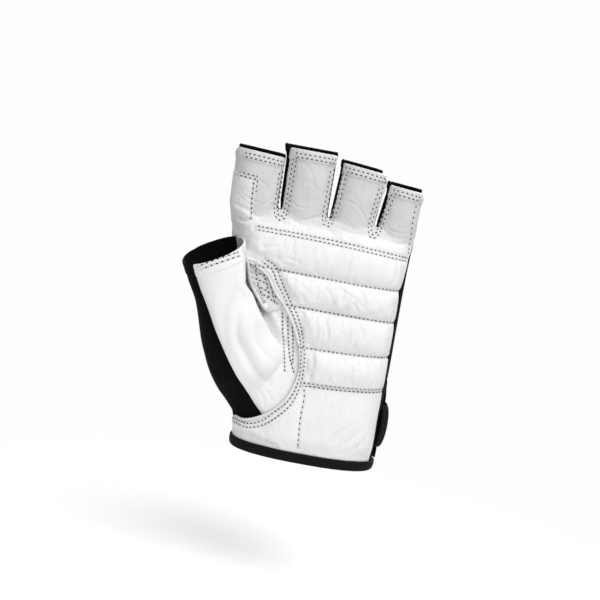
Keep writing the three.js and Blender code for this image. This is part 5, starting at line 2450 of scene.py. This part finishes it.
@dataclass
class Stitching:
    """Threads, and dark beads painted as the shadow in each needle hole, on the finished surfaces; sizes are
    half sizes.
    """

    finishes: Finishes
    threads: BMesh = field(default_factory=bmesh.new)
    hole_shadows: BMesh = field(default_factory=bmesh.new)
    step: float = 0.0003
    stagger: float = 0.5
    steepest: float = 0.12
    fewest: int = 8
    evened: int = 6
    thread: Span = (0.00024, 0.00018)
    thread_share: float = 0.33
    thread_lift: float = 0.00006
    # Half sizes of the dark bead painted as the shadow in a needle hole.
    hole: Triple = (0.00042, 0.00056, 0.00016)

    def sew(self, sewn: Iterable[Row], skin: Skin) -> None:
        """Sews rows on a surface.

        Args:
            sewn: The rows.
            skin: The outer surface of the sheet.
        """
        tree = skin.tree()
        for row in sewn:
            for number, line in enumerate(row.lines()):
                places = at_lengths(line, np.arange(0.0, lengths_along(line)[-1], self.step))
                self._row(places, tree, row.pitch, number * self.stagger)

    def _row(self, line: Array, tree: BVHTree, pitch: float, phase: float) -> None:
        """Sews one row along a line in the front view.

        Args:
            line: The line's places, close together.
            tree: The surface.
            pitch: The length of one stitch.
            phase: How far the first stitch is shifted, in stitches.
        """
        places, normals = [], []
        for x, z in line:
            hit, normal, _, _ = tree.ray_cast(Vector((x, -FAR, z)), AHEAD)
            if hit is not None and hit.y <= 0.0 and -normal.y >= self.steepest:
                places.append(hit[:])
                normals.append(normal[:])
        if len(places) < self.fewest:
            return
        path, facing = np.array(places), np.array(normals)
        run = lengths_along(path)
        threads, hole_shadows = bmesh.new(), bmesh.new()
        for middle in np.arange((0.5 + phase) * pitch, run[-1], pitch):
            one, two, end = at_lengths(path, middle + pitch * np.array([-0.3, 0.3, 0.5]))
            if np.linalg.norm(two - one) < 0.2 * pitch:
                continue
            at = np.searchsorted(run, middle)
            near = facing[max(0, at - self.evened):at + self.evened + 1]
            normal = Vector(near.mean(axis=0)).normalized()
            way = Vector(two - one).normalized()
            side = normal.cross(way).normalized()
            turn = Matrix((side, way, way.cross(side) * -1.0)).transposed().to_4x4()
            place = Vector(one + two) / 2 + normal * self.thread_lift
            lying = turn @ Matrix.Rotation(math.pi / 2, 4, "X")
            self._bead(threads, place, lying, (*self.thread, self.thread_share * pitch))
            # A dark bead painted as the shadow in the needle hole at the stitch's end.
            self._bead(hole_shadows, Vector(end), turn, self.hole)
        self.threads.from_mesh(as_mesh("row", threads))
        self.hole_shadows.from_mesh(as_mesh("row", hole_shadows))

    @staticmethod
    def _bead(bm: BMesh, place: Vector, turn: Matrix, size: Triple) -> None:
        """A small ball stretched to half sizes."""
        matrix = Matrix.Translation(place) @ turn @ Matrix.Diagonal((*size, 1.0))
        bmesh.ops.create_uvsphere(bm, u_segments=8, v_segments=5, radius=1.0, matrix=matrix)

    def dress(self) -> None:
        """Makes one object of all threads and one of all the painted needle-hole shadows."""
        for name, bm, finish in (
            ("palm_threads", self.threads, self.finishes.thread),
            ("needle_hole_shadows", self.hole_shadows, self.finishes.hole),
        ):
            bmesh.ops.recalc_face_normals(bm, faces=bm.faces)
            hand_over(linked(name, as_mesh(name, bm, finish)))


@dataclass(frozen=True)
class Lamp:
    """A soft square light: its place, its side in metres and its power in watts."""

    name: str
    place: Triple
    side: float
    watts: float


@dataclass(frozen=True)
class Studio:
    """Backdrop, floor, lights and the camera at the photo's place."""

    target: Triple = (-0.01605, -0.012, 0.0788)
    roll: float = math.radians(10.5)
    pitch: float = math.radians(6.0)
    distance: float = 0.6
    lens: float = 72.0
    floor_height: float = -0.07
    floor_radius: float = 0.5
    floor_fade: Span = (0.08, 0.3)
    floor_colour: Triple = (0.92, 0.922, 0.926)
    backdrop: Triple = (0.985, 0.988, 0.992)
    ambient: float = 0.32
    lamps: tuple[Lamp, ...] = (
        Lamp("key", (0.28, -0.58, 0.88), 0.8, 8.65),
        Lamp("fill", (-0.1, -0.95, -0.3), 0.7, 2.8),
        Lamp("rim", (0.3, 0.8, 0.6), 0.5, 10.0),
    )

    def build(self) -> None:
        """Sets up everything round the glove."""
        scene = bpy.context.scene
        scene.view_settings.view_transform = "Standard"
        scene.world = self._world()
        scene.camera = self._camera()
        self._floor()
        for lamp in self.lamps:
            self._light(lamp)

    def _world(self) -> bpy.types.World:
        """A white backdrop for the camera, gloss and glass, and softer light for the surfaces.

        Returns:
            The world.
        """
        graph = Graph(bpy.data.worlds.new("studio"))
        rays = graph.node("LightPath").outputs
        seen = rays["Is Camera Ray"]
        for kind in ("Is Glossy Ray", "Is Transmission Ray"):
            seen = graph.value("Math", {"operation": "MAXIMUM"}, {0: seen, 1: rays[kind]}).socket
        soft, shown = (
            graph.node("Background", {}, {"Color": (*colour, 1.0), "Strength": strength}).outputs[0]
            for colour, strength in (((1.0, 1.0, 1.0), self.ambient), (self.backdrop, 1.0))
        )
        mixed = graph.node("MixShader", {}, {0: seen, 1: soft, 2: shown})
        graph.node("OutputWorld", {}, {"Surface": mixed.outputs[0]})
        return graph.owner

    def _floor(self) -> None:
        """A pale round floor that fades into the backdrop."""
        bm = bmesh.new()
        bmesh.ops.create_circle(bm, cap_ends=True, segments=96, radius=self.floor_radius)
        graph = Graph(bpy.data.materials.new("studio_floor"))
        far = graph.value("VectorMath", {"operation": "LENGTH"}, {0: graph.places()}, "Value")
        pale = graph.node("BsdfDiffuse", {}, {"Color": (*self.floor_colour, 1.0)}).outputs[0]
        clear = graph.node("BsdfTransparent").outputs[0]
        mixed = graph.node("MixShader", {}, {"Fac": far.between(*self.floor_fade), 1: pale, 2: clear})
        graph.node("OutputMaterial", {}, {"Surface": mixed.outputs[0]})
        mesh = as_mesh("studio_floor", bm)
        mesh.materials.append(graph.owner)
        floor = linked("studio_floor", mesh)
        floor.location = (0.0, 0.0, self.floor_height)

    def _light(self, lamp: Lamp) -> None:
        """Hangs a lamp, facing the glove.

        Args:
            lamp: The lamp.
        """
        data = bpy.data.lights.new(lamp.name, "AREA")
        data.size = lamp.side
        data.energy = lamp.watts
        light = linked(lamp.name, data)
        light.location = lamp.place
        away = Vector(lamp.place) - Vector(self.target)
        light.rotation_euler = away.to_track_quat("Z", "Y").to_euler()

    def _camera(self) -> Thing:
        """The camera, turned by the tilt at which the glove stands in the photo.

        Returns:
            The camera.
        """
        data = bpy.data.cameras.new("camera")
        data.lens = self.lens
        data.sensor_width = 36.0
        camera = linked("camera", data)
        right = Vector((math.cos(self.roll), 0.0, math.sin(self.roll)))
        level = Vector((-math.sin(self.roll), 0.0, math.cos(self.roll)))
        ahead = AHEAD * math.cos(self.pitch) - level * math.sin(self.pitch)
        up = right.cross(ahead)
        place = Vector(self.target) - ahead * self.distance
        turn = Matrix((right, up, -ahead)).transposed().to_4x4()
        camera.matrix_world = Matrix.Translation(place) @ turn
        return camera


def main() -> None:
    """Builds the glove and its studio."""
    logging.basicConfig(level=logging.INFO, format="%(name)s %(message)s")
    finishes = Finishes()
    form = HandForm()
    pattern = Pattern(form)
    blank = form.skin()
    stitching = Stitching(finishes)
    stitching.sew(Seams.palm, Palm(form, pattern, finishes).dress(blank))
    stitching.sew((*Seams.thumb, *Seams.web_patch), Thumb(form, pattern, finishes).dress(blank))
    stitching.sew(Seams.side_patch, Back(form, pattern, finishes).dress(blank))
    stitching.dress()
    Cuff(form, pattern, finishes).dress()
    Strap(form, finishes).dress()
    Studio().build()


if __name__ == "__main__":
    main()
